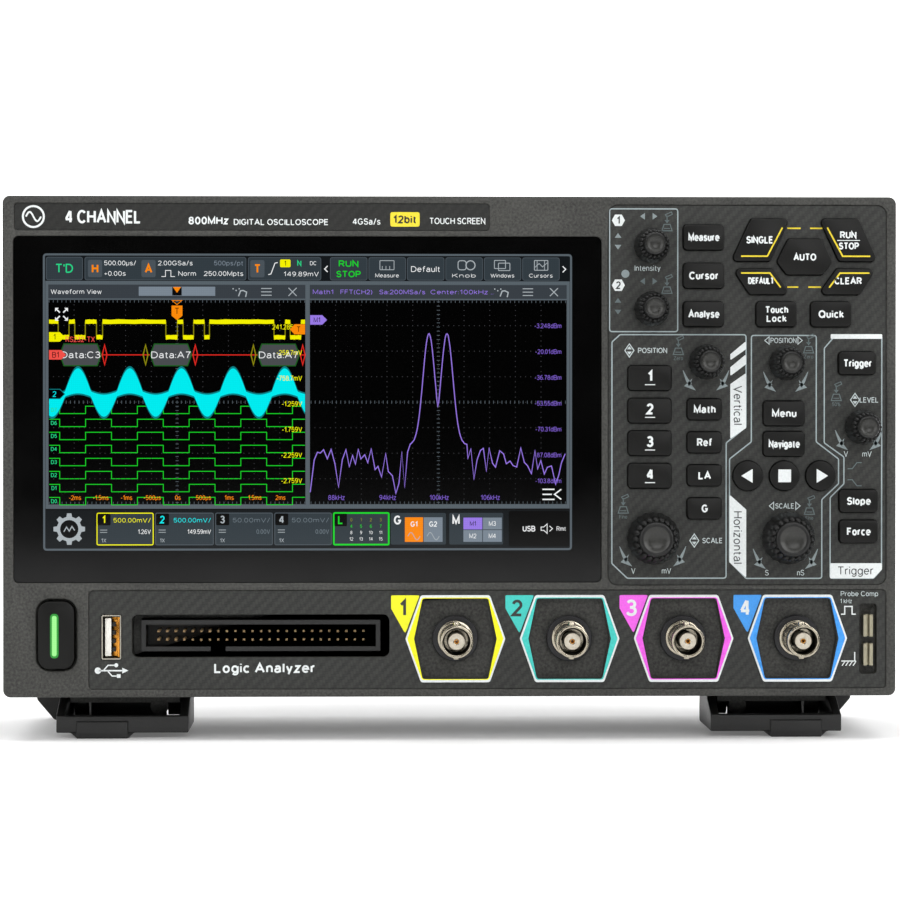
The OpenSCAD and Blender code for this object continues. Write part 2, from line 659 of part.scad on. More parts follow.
module fan_frame() color([0.15, 0.15, 0.15]) placed() translate([fan_x, rear_in - fan_d, fan_z]) {
    difference() {
        slab(0, fan_d) square(fan_w, center = true);
        rod([0, 0], fan_duct_d, -1, fan_d + 1);
        for (x = fan_corners(), z = fan_corners()) rod([x, z], fan_screw_d + 0.2, -1, fan_d + 1);
    }
    difference() {
        union() {
            rod([0, 0], fan_hub_d + 1, fan_d - 2.6, fan_d);
            rod([0, 0], 6, 3, fan_d - 1);
            for (a = [45:90:315]) rotate([0, a, 0]) translate([fan_hub_d / 2 - 1, fan_d - 2.6, -1.5])
                cube([fan_duct_d / 2 - fan_hub_d / 2 + 2, 2.6, 3]);
        }
        rod([0, 0], fan_axle_d + 2 * fan_axle_gap, 0, fan_d - 1);
    }
}

module fan_rotor() color([0.2, 0.2, 0.2]) placed() translate([fan_x, rear_in - fan_d, fan_z]) {
    rod([0, 0], fan_axle_d, 1.5, fan_d - 2);
    difference() {
        rod([0, 0], fan_hub_d, 1, fan_d - 3.4);
        rod([0, 0], fan_hub_d - 3, 2.4, fan_d);
    }
    for (i = [1:blade_count]) rotate([0, i * 360 / blade_count, 0])
        translate([fan_hub_d / 2 - 0.8, fan_d / 2 - 1.4, 0]) rotate([38, 0, 0]) translate([0, -0.7, -5.5])
            cube([fan_duct_d / 2 - fan_hub_d / 2 - 0.6, 1.4, 11]);
}

// Side profile of a leg in Y and Z: sloping front, round back about the pivot
function leg_profile() = concat(
    [[leg_front, leg_low + leg_bar_h], [leg_front, leg_low], [leg_front + leg_l - 1.6, leg_low],
        [leg_front + leg_l - 0.7, leg_low + 1]],
    [for (a = [0:15:90]) [leg_pivot_y, leg_pivot_z] + leg_back_r * [cos(a), sin(a)]],
    [[leg_front + 14.5, leg_pivot_z + leg_back_r]]);

module leg(x) color([0.13, 0.13, 0.13]) placed() translate([x, 0, 0]) {
    for (s = [-1, 1]) translate([s * (leg_w - leg_side_t) / 2, 0, 0]) {
        translate([-leg_side_t / 2, 0, 0]) rotate([90, 0, 90]) linear_extrude(leg_side_t)
            polygon(leg_profile());
        translate([-s * (leg_side_t + lug_t) / 2, leg_pivot_y, leg_pivot_z]) rotate([0, 90, 0])
            cylinder(d = leg_pin_d, h = lug_t + 1, center = true);
    }
    translate([-leg_w / 2 + 1, leg_front, leg_low]) cube([leg_w - 2, leg_bar_t, leg_bar_h]);
    translate([-leg_w / 2 + 1, leg_front, leg_low]) cube([leg_w - 2, leg_l - 2, leg_plate_t]);
    translate([-leg_web_w / 2, leg_pivot_y - 1, leg_low])
        cube([leg_web_w, 2, leg_pivot_z - leg_low + 0.4]);
    translate([sign(x) * 6 - pad_tip_w / 2, leg_front - pad_rise, 0])
        cube([pad_tip_w, pad_rise + 1, leg_low + leg_bar_h - 1.6]);
    translate([sign(x) * 6, leg_front + 0.4, 0]) slab(0, pad_l)
        polygon([[-pad_tip_w / 2, 0], [pad_tip_w / 2, 0], [pad_w / 2, pad_t], [-pad_w / 2, pad_t]]);
}

// An encoder shaft with a flat on its front end
module shaft(k) color("gainsboro") placed() difference() {
    rod(key_at([0, k[0], k[1]]), shaft_d, shaft_front, shaft_rear);
    translate([right_x - k[0] - shaft_d, shaft_front - 1, top_z - k[1] + shaft_d / 2 - shaft_flat])
        cube([2 * shaft_d, knob_rear - shaft_front + 1, shaft_d]);
}

// A knob with a wide skirt, a narrower cap with a dished front and a D-shaped socket
module knob(k) color([0.16, 0.16, 0.15]) placed() translate([right_x - k[0], 0, top_z - k[1]]) {
    cap_r = k[2] * knob_cap_share / 2;
    skirt_r = k[2] / 2;
    inner_r = min(skirt_r - 1, bushing_d / 2 + 0.4);
    difference() {
        rotate([90, 0, 0]) rotate_extrude() polygon([[0, -knob_rear], [skirt_r, -knob_rear],
            [skirt_r, -knob_rear + skirt_h - 0.8], [cap_r + 0.2, -knob_rear + skirt_h],
            [cap_r, knob_proud - 0.6], [cap_r - 0.6, knob_proud], [cap_r - 1, knob_proud],
            [0, knob_proud - 0.9]]);
        rod([0, 0], 2 * inner_r, knob_rear - 1.2, 0);
        difference() {
            rod([0, 0], shaft_d + 2 * shaft_gap, knob_roof - knob_proud, 0);
            translate([-shaft_d, knob_roof - knob_proud - 1, shaft_d / 2 - shaft_flat + shaft_gap])
                cube([2 * shaft_d, knob_rear - 1.2 - knob_roof + knob_proud, shaft_d]);
        }
    }
}

// A key: cap, flange and stem; the first child is its outline and the second its flange's
module key(at, stem_to = stem_end) color([0.14, 0.14, 0.12]) placed() {
    slab(-key_proud, key_proud + flange_y + eps) children(0);
    slab(flange_y, flange_t) children(1);
    rod(at, stem_d, flange_y, stem_to);
}

front_bezel();
rear_cover();
touch_glass();
lcd_module();
panel_overlays();
keypad_membrane();
control_board();
main_board();
bnc_connectors();
channel_frames();
sockets();
logic_header();
probe_terminals();
rear_feet();
case_screws();
fan_frame();
fan_rotor();
leg(-leg_x);  // left_leg
leg(leg_x);  // right_leg
for (i = [0:len(knobs) - 1]) {
    shaft(knobs[i]);
    knob(knobs[i]);
}
for (k = rect_keys) key(key_at(k)) {
    rect_outline(k, 0);
    rect_outline(k, key_flange);
}
for (k = round_keys) key(key_at(k)) {
    round_outline(k, 0);
    round_outline(k, key_flange);
}
for (k = shaped_keys) key(shaped_centre(k)) {
    shaped_outline(k, 0);
    shaped_outline(k, key_flange);
}
key([power_x, power_z]) {  // key_power
    power_outline(0);
    power_outline(key_flange);
}
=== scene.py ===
# %% [markdown]
# # A bench oscilloscope
# The imported model is the fixed frame: every key, knob, leg and connector already has its place
# and its body there. This lesson gives each of them its looks. It starts by loading the frame.

# %% Load the frame
import math
import random

import bmesh
import bpy
from mathutils import Matrix, Vector


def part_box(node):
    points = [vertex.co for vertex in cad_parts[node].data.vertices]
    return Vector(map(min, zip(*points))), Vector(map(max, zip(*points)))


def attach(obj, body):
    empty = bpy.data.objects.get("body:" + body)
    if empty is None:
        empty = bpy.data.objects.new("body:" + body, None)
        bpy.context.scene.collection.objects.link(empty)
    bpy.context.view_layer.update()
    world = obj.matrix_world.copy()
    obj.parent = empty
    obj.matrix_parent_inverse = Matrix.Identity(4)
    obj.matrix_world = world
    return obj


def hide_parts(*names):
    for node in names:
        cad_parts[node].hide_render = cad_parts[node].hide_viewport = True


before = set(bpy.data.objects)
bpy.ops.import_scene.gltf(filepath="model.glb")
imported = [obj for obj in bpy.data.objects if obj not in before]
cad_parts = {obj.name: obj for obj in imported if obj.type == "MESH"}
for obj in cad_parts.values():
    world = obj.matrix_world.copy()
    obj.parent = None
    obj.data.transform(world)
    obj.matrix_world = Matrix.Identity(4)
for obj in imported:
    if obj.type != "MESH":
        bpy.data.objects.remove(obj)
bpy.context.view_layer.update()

# %% [markdown]
# ## Measures
# A front panel is drawn most easily in millimetres from its own edges, as its maker would. The
# edges come from the frame's boxes, so that every print and part lands on the real one.

# %% Measures from the frame
MM = 0.001


def box_mm(node):
    low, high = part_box(node)
    return [v / MM for v in low], [v / MM for v in high]


bezel_low, bezel_high = box_mm("front_bezel")
LEFT, RIGHT, TOP = bezel_low[0], bezel_high[0], bezel_high[2]
BOTTOM = bezel_low[2]
PANEL_Y = bezel_low[1]
FILM_Y = box_mm("panel_overlays")[0][1]
GLASS_Y = box_mm("touch_glass")[0][1]
print("panel at y", round(PANEL_Y, 2), "films at", round(FILM_Y, 2), "glass at", round(GLASS_Y, 2))

# %% [markdown]
# ## Camera
# The instrument is seen almost square on, from a little under a metre, slightly left of its
# middle and above it: near enough that the sides of the knobs and sockets show. A long lens
# keeps the case's edges straight, as in a catalogue picture.

# %% Camera
camera_data = bpy.data.cameras.new("camera")
camera_data.lens = 125.3
camera_data.sensor_width = 36
camera = bpy.data.objects.new("camera", camera_data)
bpy.context.scene.collection.objects.link(camera)
camera.location = Vector((-25.5, PANEL_Y - 930, 95.4)) * MM
look_at = Vector((-0.3, PANEL_Y, 86.5)) * MM
camera.rotation_euler = (look_at - camera.location).to_track_quat("-Z", "Y").to_euler()
bpy.context.scene.camera = camera
bpy.context.scene.view_settings.view_transform = "Standard"
print("camera is", round((look_at - camera.location).length, 3), "m from the panel")

# %% [markdown]
# ## Floor and light
# Product pictures of dark instruments are lit by large soft panels from above and the sides,
# over a pale sweep. The space behind the camera stays dim, or the black glass would mirror it
# and turn grey.

# %% Floor, world and lamps


def add(tree, kind, inputs=None, **settings):
    """Adds a node; inputs holds values or the sockets that feed it, settings its own properties."""
    node = tree.nodes.new(kind)
    for key, value in settings.items():
        setattr(node, key, value)
    for key, value in (inputs or {}).items():
        if isinstance(value, bpy.types.NodeSocket):
            tree.links.new(value, node.inputs[key])
        else:
            node.inputs[key].default_value = value
    return node


def linear(hex_colour, share=1.0):
    """An sRGB hex colour as linear red, green, blue and alpha."""
    parts = [int(hex_colour[i:i + 2], 16) / 255 for i in (1, 3, 5)]
    curve = [c / 12.92 if c <= 0.04045 else ((c + 0.055) / 1.055) ** 2.4 for c in parts]
    return (*[c * share for c in curve], 1.0)


def shader_of(material):
    return material.node_tree.nodes["Principled BSDF"]


def new_material(name, colour, roughness=0.5, metallic=0.0, ior=1.5, **extra):
    """A Principled material; extra sets further sockets, with _ for the spaces in their names."""
    material = bpy.data.materials.new(name)
    material.use_nodes = True
    shader = shader_of(material)
    shader.inputs["Base Color"].default_value = linear(colour)
    shader.inputs["Roughness"].default_value = roughness
    shader.inputs["Metallic"].default_value = metallic
    shader.inputs["IOR"].default_value = ior
    for key, value in extra.items():
        shader.inputs[key.replace("_", " ")].default_value = value
    return material


# A matt white sweep whose emission is painted glow standing in for lamps on the backdrop, brighter
# toward the back wall
floor_paint = new_material("backlit_acrylic", "#F4F4F4", roughness=0.9)
shader_of(floor_paint).inputs["Emission Color"].default_value = (1, 1, 1, 1)
tree = floor_paint.node_tree
depth = add(tree, "ShaderNodeSeparateXYZ", {0: add(tree, "ShaderNodeTexCoord").outputs["Object"]})
# painted glow: the emission grows from front to back so the sweep reads as a lit white backdrop
glow = add(tree, "ShaderNodeMapRange", {0: depth.outputs["Y"], 1: 0.0, 2: 0.6, 3: 0.12, 4: 0.9})
tree.links.new(glow.outputs[0], shader_of(floor_paint).inputs["Emission Strength"])
sweep_profile = [(-2.6, 0)] + [(0.75 + 0.5 * math.sin(a), 0.5 - 0.5 * math.cos(a))
                               for a in [math.radians(9 * i) for i in range(11)]] + [(1.25, 2.2)]
sweep_mesh = bpy.data.meshes.new("sweep")
sweep_mesh.from_pydata([(x, y, z) for x in (-2.4, 2.4) for y, z in sweep_profile], [],
                       [(i, len(sweep_profile) + i, len(sweep_profile) + i + 1, i + 1)
                        for i in range(len(sweep_profile) - 1)])
sweep = bpy.data.objects.new("sweep", sweep_mesh)
bpy.context.scene.collection.objects.link(sweep)
sweep_mesh.materials.append(floor_paint)
for face in sweep_mesh.polygons:
    face.use_smooth = True

world = bpy.data.worlds.new("studio")
bpy.context.scene.world = world
world.use_nodes = True
sky = world.node_tree
direction = add(sky, "ShaderNodeTexCoord").outputs["Generated"]
depth_part = add(sky, "ShaderNodeSeparateXYZ", {0: direction}).outputs["Y"]
brightness = add(sky, "ShaderNodeMapRange",
                 {0: depth_part, 1: -0.55, 2: 0.3, 3: 0.1, 4: 1.0}).outputs[0]
sky.links.new(brightness, sky.nodes["Background"].inputs["Strength"])


def lamp(name, at, size, watts, target=(0, 0, 80)):
    data = bpy.data.lights.new(name, "AREA")
    data.shape = "RECTANGLE"
    data.size, data.size_y = size
    data.energy = watts
    lamp_object = bpy.data.objects.new(name, data)
    bpy.context.scene.collection.objects.link(lamp_object)
    lamp_object.location = Vector(at) * MM
    toward = Vector(target) * MM - lamp_object.location
    lamp_object.rotation_euler = toward.to_track_quat("-Z", "Y").to_euler()


lamp("top_panel", (0, -150, 1150), (1.5, 0.9), 12)
lamp("left_panel", (-900, -520, 520), (0.6, 0.9), 5.4)
lamp("right_panel", (900, -420, 560), (0.6, 0.9), 6.0)
lamp("front_panel", (120, -1250, 640), (0.9, 0.5), 5.6)

# %% [markdown]
# ## Materials
# Almost everything here is moulded, printed, plated or turned, and each way leaves its own
# grain: spark-eroded moulds give a fine pebble, satin moulds a faint haze, turning leaves rings.
# One function mixes two close shades by a noise of the real grain size and uses the same noise
# for bump and gloss, because on a real part the three come from one surface.

# %% Grained materials
GRAIN_SEEN = 0.6  # mm, about the finest grain that shows at this distance


def object_place(tree):
    return add(tree, "ShaderNodeTexCoord").outputs["Object"]


def set_base(material, colour_socket):
    material.node_tree.links.new(colour_socket, shader_of(material).inputs["Base Color"])


def mixed(tree, factor, dark, light):
    """The socket of a colour that goes from dark to light (hex values) with the factor."""
    mix = add(tree, "ShaderNodeMix", {0: factor}, data_type="RGBA")
    mix.inputs[6].default_value = linear(dark)
    mix.inputs[7].default_value = linear(light)
    return mix.outputs[2]


def grained(name, dark, light, grain_mm, roughness, bump_mm=0.02, contrast=2.2, blotch_mm=14,
            **extra):
    """Moulded or printed surface: grain of grain_mm, with faint larger blotches."""
    material = new_material(name, light, roughness, **extra)
    tree = material.node_tree
    place = object_place(tree)
    grain = add(tree, "ShaderNodeTexNoise", {"Vector": place, "Scale": 1000 / grain_mm,
                                             "Detail": 3.0, "Roughness": 0.6}).outputs["Fac"]
    blotch = add(tree, "ShaderNodeTexNoise", {"Vector": place, "Scale": 1000 / blotch_mm,
                                              "Detail": 2.0}).outputs["Fac"]
    both = add(tree, "ShaderNodeMath", {0: blotch, 1: 0.3, 2: grain},
               operation="MULTIPLY_ADD").outputs[0]
    shade = add(tree, "ShaderNodeMapRange", {0: both, 1: 0.65 - 0.35 / contrast,
                                             2: 0.65 + 0.35 / contrast}).outputs[0]
    set_base(material, mixed(tree, shade, dark, light))
    gloss = add(tree, "ShaderNodeMapRange", {0: grain, 3: roughness - 0.08, 4: roughness + 0.08})
    tree.links.new(gloss.outputs[0], shader_of(material).inputs["Roughness"])
    bump = add(tree, "ShaderNodeBump", {"Height": grain, "Strength": 0.6,
                                        "Distance": bump_mm * MM})
    tree.links.new(bump.outputs[0], shader_of(material).inputs["Normal"])
    return material


# Moulded ABS from a spark-eroded tool: warm dark grey, soft pebble, no sharp glints
spark_abs = grained("spark_eroded_abs", "#141413", "#4C4C48", 0.75, 0.55, 0.09, 1.25,
                    Specular_IOR_Level=0.4)
cover_abs = grained("spark_eroded_abs_rear", "#161615", "#42423E", 0.75, 0.58, 0.08, 1.25,
                    Specular_IOR_Level=0.4)
# Keys and knobs come from finer tools: nearly black, with a faint silky haze
key_abs = grained("satin_abs_keys", "#070706", "#0D0D0B", GRAIN_SEEN, 0.42, 0.008, 1.2,
                  Specular_IOR_Level=0.22)
knob_abs = grained("satin_abs_knobs", "#060606", "#0E0E0D", GRAIN_SEEN, 0.36, 0.008, 1.2,
                   Specular_IOR_Level=0.35)
cap_face_abs = grained("knob_face_abs", "#181816", "#2A2A26", GRAIN_SEEN, 0.36, 0.01, 1.2)
# Glass-filled nylon of connector housings: deeper black, slightly rough
black_nylon = grained("glass_filled_nylon", "#0C0C0C", "#1C1C1B", GRAIN_SEEN, 0.5, 0.01, 1.2)
leg_abs = grained("moulded_leg_abs", "#101010", "#1E1E1D", GRAIN_SEEN, 0.5, 0.02, 1.4)
foot_rubber = grained("foot_rubber", "#121212", "#222221", 0.8, 0.75, 0.02, 1.4)
fan_pbt = grained("fan_pbt", "#141414", "#242424", 0.8, 0.45, 0.01, 1.2)
key_silicone = grained("key_mat_silicone", "#9C9C94", "#B8B8B0", 1.2, 0.6, 0.01, 1.2)
white_nylon = grained("usb_tongue_nylon", "#DDDAD2", "#EFECE4", 1.0, 0.45, 0.004, 1.2)
insulator = grained("ptfe_insulator", "#B0A898", "#CFC7B6", 1.0, 0.4, 0.004, 1.2)
channel_abs = {
    1: grained("channel_1_abs", "#E6E600", "#FFFF0A", 1.0, 0.35, 0.006, 1.2),
    2: grained("channel_2_abs", "#2FB9B0", "#46D6CC", 1.0, 0.35, 0.006, 1.2),
    3: grained("channel_3_abs", "#E24FD9", "#FA66F1", 1.0, 0.35, 0.006, 1.2),
    4: grained("channel_4_abs", "#2C86DC", "#43A4F8", 1.0, 0.35, 0.006, 1.2)}
print("grained materials:", len(bpy.data.materials))

# %% [markdown]
# The control films are printed with a dark carbon-like weave: two threads over, two under, each
# row shifted by one thread, which gives faint bands rising to the right. The cell's place picks
# which thread lies on top, and a rounded shade across it shows its direction.

# %% Twill film
THREAD = 0.83  # mm, one thread of the printed weave


def ripple(tree, along, pitch_mm, shift=0.0):
    """0 to 1 and back once in every pitch."""
    turns = add(tree, "ShaderNodeMath", {0: along, 1: 2 * math.pi / (pitch_mm * MM), 2: shift},
                operation="MULTIPLY_ADD").outputs[0]
    wave = add(tree, "ShaderNodeMath", {0: turns}, operation="SINE").outputs[0]
    return add(tree, "ShaderNodeMapRange", {0: wave, 1: -1.0, 2: 1.0}).outputs[0]


def twill(name, dark, light):
    """Film printed with the weave, between two shades."""
    material = new_material(name, light, roughness=0.45, Specular_IOR_Level=0.4)
    tree = material.node_tree
    place = object_place(tree)
    axes = add(tree, "ShaderNodeSeparateXYZ", {0: place})
    cells = {}
    for axis in ("X", "Z"):
        in_threads = add(tree, "ShaderNodeMath", {0: axes.outputs[axis], 1: 1 / (THREAD * MM)},
                         operation="MULTIPLY")
        cells[axis] = add(tree, "ShaderNodeMath", {0: in_threads.outputs[0]},
                          operation="FLOOR").outputs[0]
    steps = add(tree, "ShaderNodeMath", {0: cells["X"], 1: cells["Z"]},
                operation="SUBTRACT").outputs[0]
    in_four = add(tree, "ShaderNodeMath", {0: steps, 1: 4.0},
                  operation="FLOORED_MODULO").outputs[0]
    on_top = add(tree, "ShaderNodeMath", {0: in_four, 1: 1.5}, operation="LESS_THAN").outputs[0]
    upright = ripple(tree, axes.outputs["X"], THREAD, -math.pi / 2)
    level = ripple(tree, axes.outputs["Z"], THREAD, -math.pi / 2)
    weave = add(tree, "ShaderNodeMix", {0: on_top, 2: level, 3: upright}).outputs[0]
    mottle = add(tree, "ShaderNodeTexNoise", {"Vector": place, "Scale": 1000 / 0.9,
                                              "Detail": 2.0}).outputs["Fac"]
    weave = add(tree, "ShaderNodeMath", {0: weave, 1: 0.2, 2: -0.12},
                operation="MULTIPLY_ADD").outputs[0]
    for part, share in ((on_top, 0.36), (mottle, 0.8)):
        weave = add(tree, "ShaderNodeMath", {0: part, 1: share, 2: weave},
                    operation="MULTIPLY_ADD").outputs[0]
    set_base(material, mixed(tree, weave, dark, light))
    bump = add(tree, "ShaderNodeBump", {"Height": mottle, "Strength": 0.4,
                                        "Distance": 0.012 * MM})
    tree.links.new(bump.outputs[0], shader_of(material).inputs["Normal"])
    return material


twill_film = twill("printed_twill_film", "#111211", "#333431")
twill_strip = twill("printed_twill_strip", "#060605", "#1F201D")
print("twill threads of", THREAD, "mm")

# %% [markdown]
# Metals keep their mirror and show their making only as faint lines: nickel plate on a turned
# barrel, tinned and rolled strip, brushed steel. A noise stretched along one axis does for all.
# The screen is a cover glass printed black behind; its anti-glare coat mirrors very little.

# %% Metals, glass, boards and inks


def metal(name, dark, light, roughness, stretch, line_mm=0.25, bump_mm=0.004):
    """A metal with fine lines: stretch tells how much finer they are along X, Y and Z."""
    material = new_material(name, light, roughness, metallic=1.0)
    tree = material.node_tree
    scaled = add(tree, "ShaderNodeMapping", {"Vector": object_place(tree), "Scale": stretch})
    lines = add(tree, "ShaderNodeTexNoise", {"Vector": scaled.outputs[0],
                                             "Scale": 1000 / line_mm, "Detail": 2.0}).outputs["Fac"]
    set_base(material, mixed(tree, lines, dark, light))
    gloss = add(tree, "ShaderNodeMapRange", {0: lines, 3: roughness - 0.07, 4: roughness + 0.1})
    tree.links.new(gloss.outputs[0], shader_of(material).inputs["Roughness"])
    bump = add(tree, "ShaderNodeBump", {"Height": lines, "Strength": 0.3,
                                        "Distance": bump_mm * MM})
    tree.links.new(bump.outputs[0], shader_of(material).inputs["Normal"])
    return material


nickel = metal("nickel_plated_zinc", "#857F72", "#CFC6B2", 0.18, (0.2, 1.0, 0.2))
# The same nickel made darker for the inside of the input bores: painted shade of the deep bore
nickel_painted_shade = metal("nickel_in_the_bore", "#2A2824", "#4A4740", 0.3, (0.2, 1.0, 0.2))
pin_tips = metal("gilt_pin", "#D8B27A", "#FFE9C0", 0.6, (1.0, 0.3, 1.0))
gold = metal("gold_plated_contact", "#C47F2C", "#EDA848", 0.25, (1.0, 0.3, 1.0))
tin = metal("tinned_strip", "#8F8A76", "#C4BEA6", 0.34, (1.0, 0.2, 0.2))
steel = metal("plated_steel", "#9F9A8E", "#CFCABD", 0.3, (0.2, 1.0, 0.2))
turned_steel = metal("turned_steel", "#8A8A88", "#B8B8B5", 0.3, (0.1, 1.0, 0.1))
black_zinc = metal("black_zinc", "#2A2A2B", "#4A4A4C", 0.4, (1.0, 0.2, 1.0))
display_frame = metal("lcd_frame_steel", "#8F9092", "#B4B5B7", 0.35, (0.1, 1.0, 1.0))

cover_glass = new_material("black_printed_glass", "#050505", roughness=0.07, ior=1.52,
                           Specular_IOR_Level=0.28)
tree = cover_glass.node_tree
smears = add(tree, "ShaderNodeTexNoise", {"Vector": object_place(tree), "Scale": 45.0,
                                          "Detail": 3.0}).outputs["Fac"]
smear_gloss = add(tree, "ShaderNodeMapRange", {0: smears, 1: 0.35, 2: 0.75, 3: 0.05, 4: 0.12})
tree.links.new(smear_gloss.outputs[0], shader_of(cover_glass).inputs["Roughness"])
set_base(cover_glass, mixed(tree, smears, "#030303", "#070707"))

solder_mask = new_material("green_solder_mask", "#0E4A28", roughness=0.3, ior=1.55)
tree = solder_mask.node_tree
tracks = add(tree, "ShaderNodeTexBrick", {"Vector": object_place(tree), "Scale": 1.0,
                                          "Mortar Size": 0.00022, "Brick Width": 0.0062,
                                          "Row Height": 0.0021, "Color1": linear("#0C4324"),
                                          "Color2": linear("#0F4E2B"),
                                          "Mortar": linear("#2F7A48")})
set_base(solder_mask, tracks.outputs["Color"])


def ink(name, hex_colour, roughness=0.5):
    """Screen-printed ink: even colour with the pinholes and thin spots of a mesh screen."""
    material = new_material(name, hex_colour, roughness)
    tree = material.node_tree
    thin = add(tree, "ShaderNodeTexNoise", {"Vector": object_place(tree), "Scale": 1000 / 0.5,
                                            "Detail": 2.0}).outputs["Fac"]
    shade = [int(int(hex_colour[i:i + 2], 16) * 0.88) for i in (1, 3, 5)]
    set_base(material, mixed(tree, thin, "#%02X%02X%02X" % tuple(shade), hex_colour))
    return material


inks = {"white": ink("ink_white", "#E9EEEE"), "pale": ink("ink_pale_grey", "#C7D2D3"),
        "line": ink("ink_line_grey", "#A3B1B4"), "grey": ink("ink_grey", "#8B9799"),
        "faint": ink("ink_faint_grey", "#5C696B"), "dark": ink("ink_dark", "#2A2E2F"),
        "yellow": ink("ink_yellow", "#E8CF22"), "badge": ink("ink_badge_yellow", "#F2DC28"),
        "black": ink("ink_black", "#0A0A0A"),
        "channel_1": ink("ink_channel_1", "#F8F812"), "channel_2": ink("ink_channel_2", "#3FCFC5"),
        "channel_3": ink("ink_channel_3", "#F765EE"), "channel_4": ink("ink_channel_4", "#3F9DF2")}

LCD_DOT = 0.62  # mm; the real dots of about 0.15 mm are too fine to show


def lit(name, hex_colour, strength=1.0):
    """A lit area of the display: dots in rows, each a little darker at its rim."""
    material = new_material(name, "#000000", roughness=0.09, ior=1.52, Specular_IOR_Level=0.28)
    tree = material.node_tree
    axes = add(tree, "ShaderNodeSeparateXYZ", {0: object_place(tree)})
    dots = add(tree, "ShaderNodeMath", {0: ripple(tree, axes.outputs["X"], LCD_DOT),
                                        1: ripple(tree, axes.outputs["Z"], LCD_DOT)},
               operation="MULTIPLY").outputs[0]
    level = add(tree, "ShaderNodeMapRange", {0: dots, 3: 0.94, 4: 1.04}).outputs[0]
    glow = add(tree, "ShaderNodeMix", {0: level}, data_type="RGBA", clamp_factor=False)
    glow.inputs[6].default_value = (0, 0, 0, 1)
    glow.inputs[7].default_value = linear(hex_colour)
    tree.links.new(glow.outputs[2], shader_of(material).inputs["Emission Color"])
    shader_of(material).inputs["Emission Strength"].default_value = strength
    return material


screen_hex = {"back": "#0B0B0D", "bar": "#15191C", "frame": "#59636A", "button": "#343D43",
              "title": "#3A4046", "dim": "#4B545B", "grid": "#4A4A4E", "white": "#F2F4F5",
              "soft": "#AEB6BB", "faded": "#6E7A82", "yellow": "#F8F400", "olive": "#8E8A10",
              "cyan": "#00EEF2", "teal": "#0F7F84", "green": "#19D62B", "mint": "#27D98B",
              "orange": "#FF8C0A", "red": "#E02A22", "coral": "#F4524A", "purple": "#9A7BE8",
              "violet": "#7D5FC9", "slate": "#7C8894", "moss": "#1F5B22", "box": "#4A4D50",
              "black": "#020202"}
lights = {key: lit("screen_" + key, value) for key, value in screen_hex.items()}
power_core = lit("power_light_core", "#A4FF96", 1.0)
power_glow = lit("power_light_edge", "#2FB53C", 0.7)
print("materials in all:", len(bpy.data.materials))

# %% [markdown]
# ## The moulded shells
# The frame's own meshes have the right shape but knife-sharp edges, and a moulding never has:
# its edges are rounded by a few tenths of a millimetre and catch a thin line of light. A copy
# of each mesh is merged, cleared of needless edges and bevelled; the copy is what shows.

# %% Rounded copies of frame parts


def give_material(mesh, *materials):
    mesh.materials.clear()
    for material in materials:
        mesh.materials.append(material)


def place_piece(piece, body, slot, *stands_for):
    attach(piece, body)
    if stands_for:
        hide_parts(*stands_for)
    return piece


def baked(source_object):
    """Puts the result of an object's modifiers in its own mesh and clears them."""
    bpy.context.view_layer.update()
    graph = bpy.context.evaluated_depsgraph_get()
    mesh = bpy.data.meshes.new_from_object(source_object.evaluated_get(graph))
    source_object.modifiers.clear()
    source_object.data = mesh
    mesh.name = source_object.name
    return mesh


def rounded_copy(node, name, material, edge_mm, body, slot, angle=35, segments=2):
    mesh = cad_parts[node].data.copy()
    shape = bmesh.new()
    shape.from_mesh(mesh)
    bmesh.ops.remove_doubles(shape, verts=shape.verts, dist=0.002 * MM)
    bmesh.ops.dissolve_limit(shape, angle_limit=math.radians(2), verts=shape.verts,
                             edges=shape.edges)
    for face in shape.faces:
        face.smooth = True
    shape.to_mesh(mesh)
    shape.free()
    copy = bpy.data.objects.new(name, mesh)
    bpy.context.scene.collection.objects.link(copy)
    bevel = copy.modifiers.new("edge", "BEVEL")
    bevel.width = edge_mm * MM
    bevel.segments = segments
    bevel.limit_method = "ANGLE"
    bevel.angle_limit = math.radians(angle)
    bevel.use_clamp_overlap = False
    bevel.harden_normals = True
    give_material(baked(copy), material)
    return place_piece(copy, body, slot, node)


rounded_copy("front_bezel", "bezel_shell", spark_abs, 0.35, "root", "case_plastic")
rounded_copy("rear_feet", "rear_feet_soft", foot_rubber, 0.5, "root", "foot_rubber")
for side in ("left_leg", "right_leg"):
    rounded_copy(side, side + "_moulding", leg_abs, 0.35, side, "leg_plastic")
key_nodes = sorted(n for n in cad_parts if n.startswith("key_"))
for node in key_nodes:
    rounded_copy(node, node + "_cap", key_abs, 0.3, node, "key_plastic")
print("rounded copies:", 4 + len(key_nodes))

# %% [markdown]
# Parts whose sharp edges are real, such as die-cut films and boards, stay as they are and only
# take their material.

# %% Materials of the frame's own parts
for node, material in {"touch_glass": cover_glass, "rear_cover": cover_abs, "panel_overlays": twill_film,
                       "keypad_membrane": key_silicone, "control_board": solder_mask,
                       "main_board": solder_mask, "lcd_module": display_frame,
                       "fan_frame": fan_pbt, "fan_rotor": fan_pbt, "sockets": steel,
                       "logic_header": black_nylon, "probe_terminals": tin,
                       "case_screws": black_zinc, "channel_frames": channel_abs[1],
                       "bnc_connectors": nickel}.items():
    give_material(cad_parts[node].data, material)
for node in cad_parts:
    if node.startswith("shaft_"):
        give_material(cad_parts[node].data, turned_steel)
    if node.startswith("knob_"):
        give_material(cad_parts[node].data, knob_abs)

# %% [markdown]
# ## Printing
# Legends, outlines and the picture on the display are all thin layers of ink or light. Each is
# drawn as flat shapes in millimetres and turned into closed plates a few hundredths thick, as a
# screen print is. All shapes of one colour on one body are gathered in one mesh.

# %% A drawing kit for thin layers
LAYER = 0.02  # mm, thickness of one printed layer
layers = {}


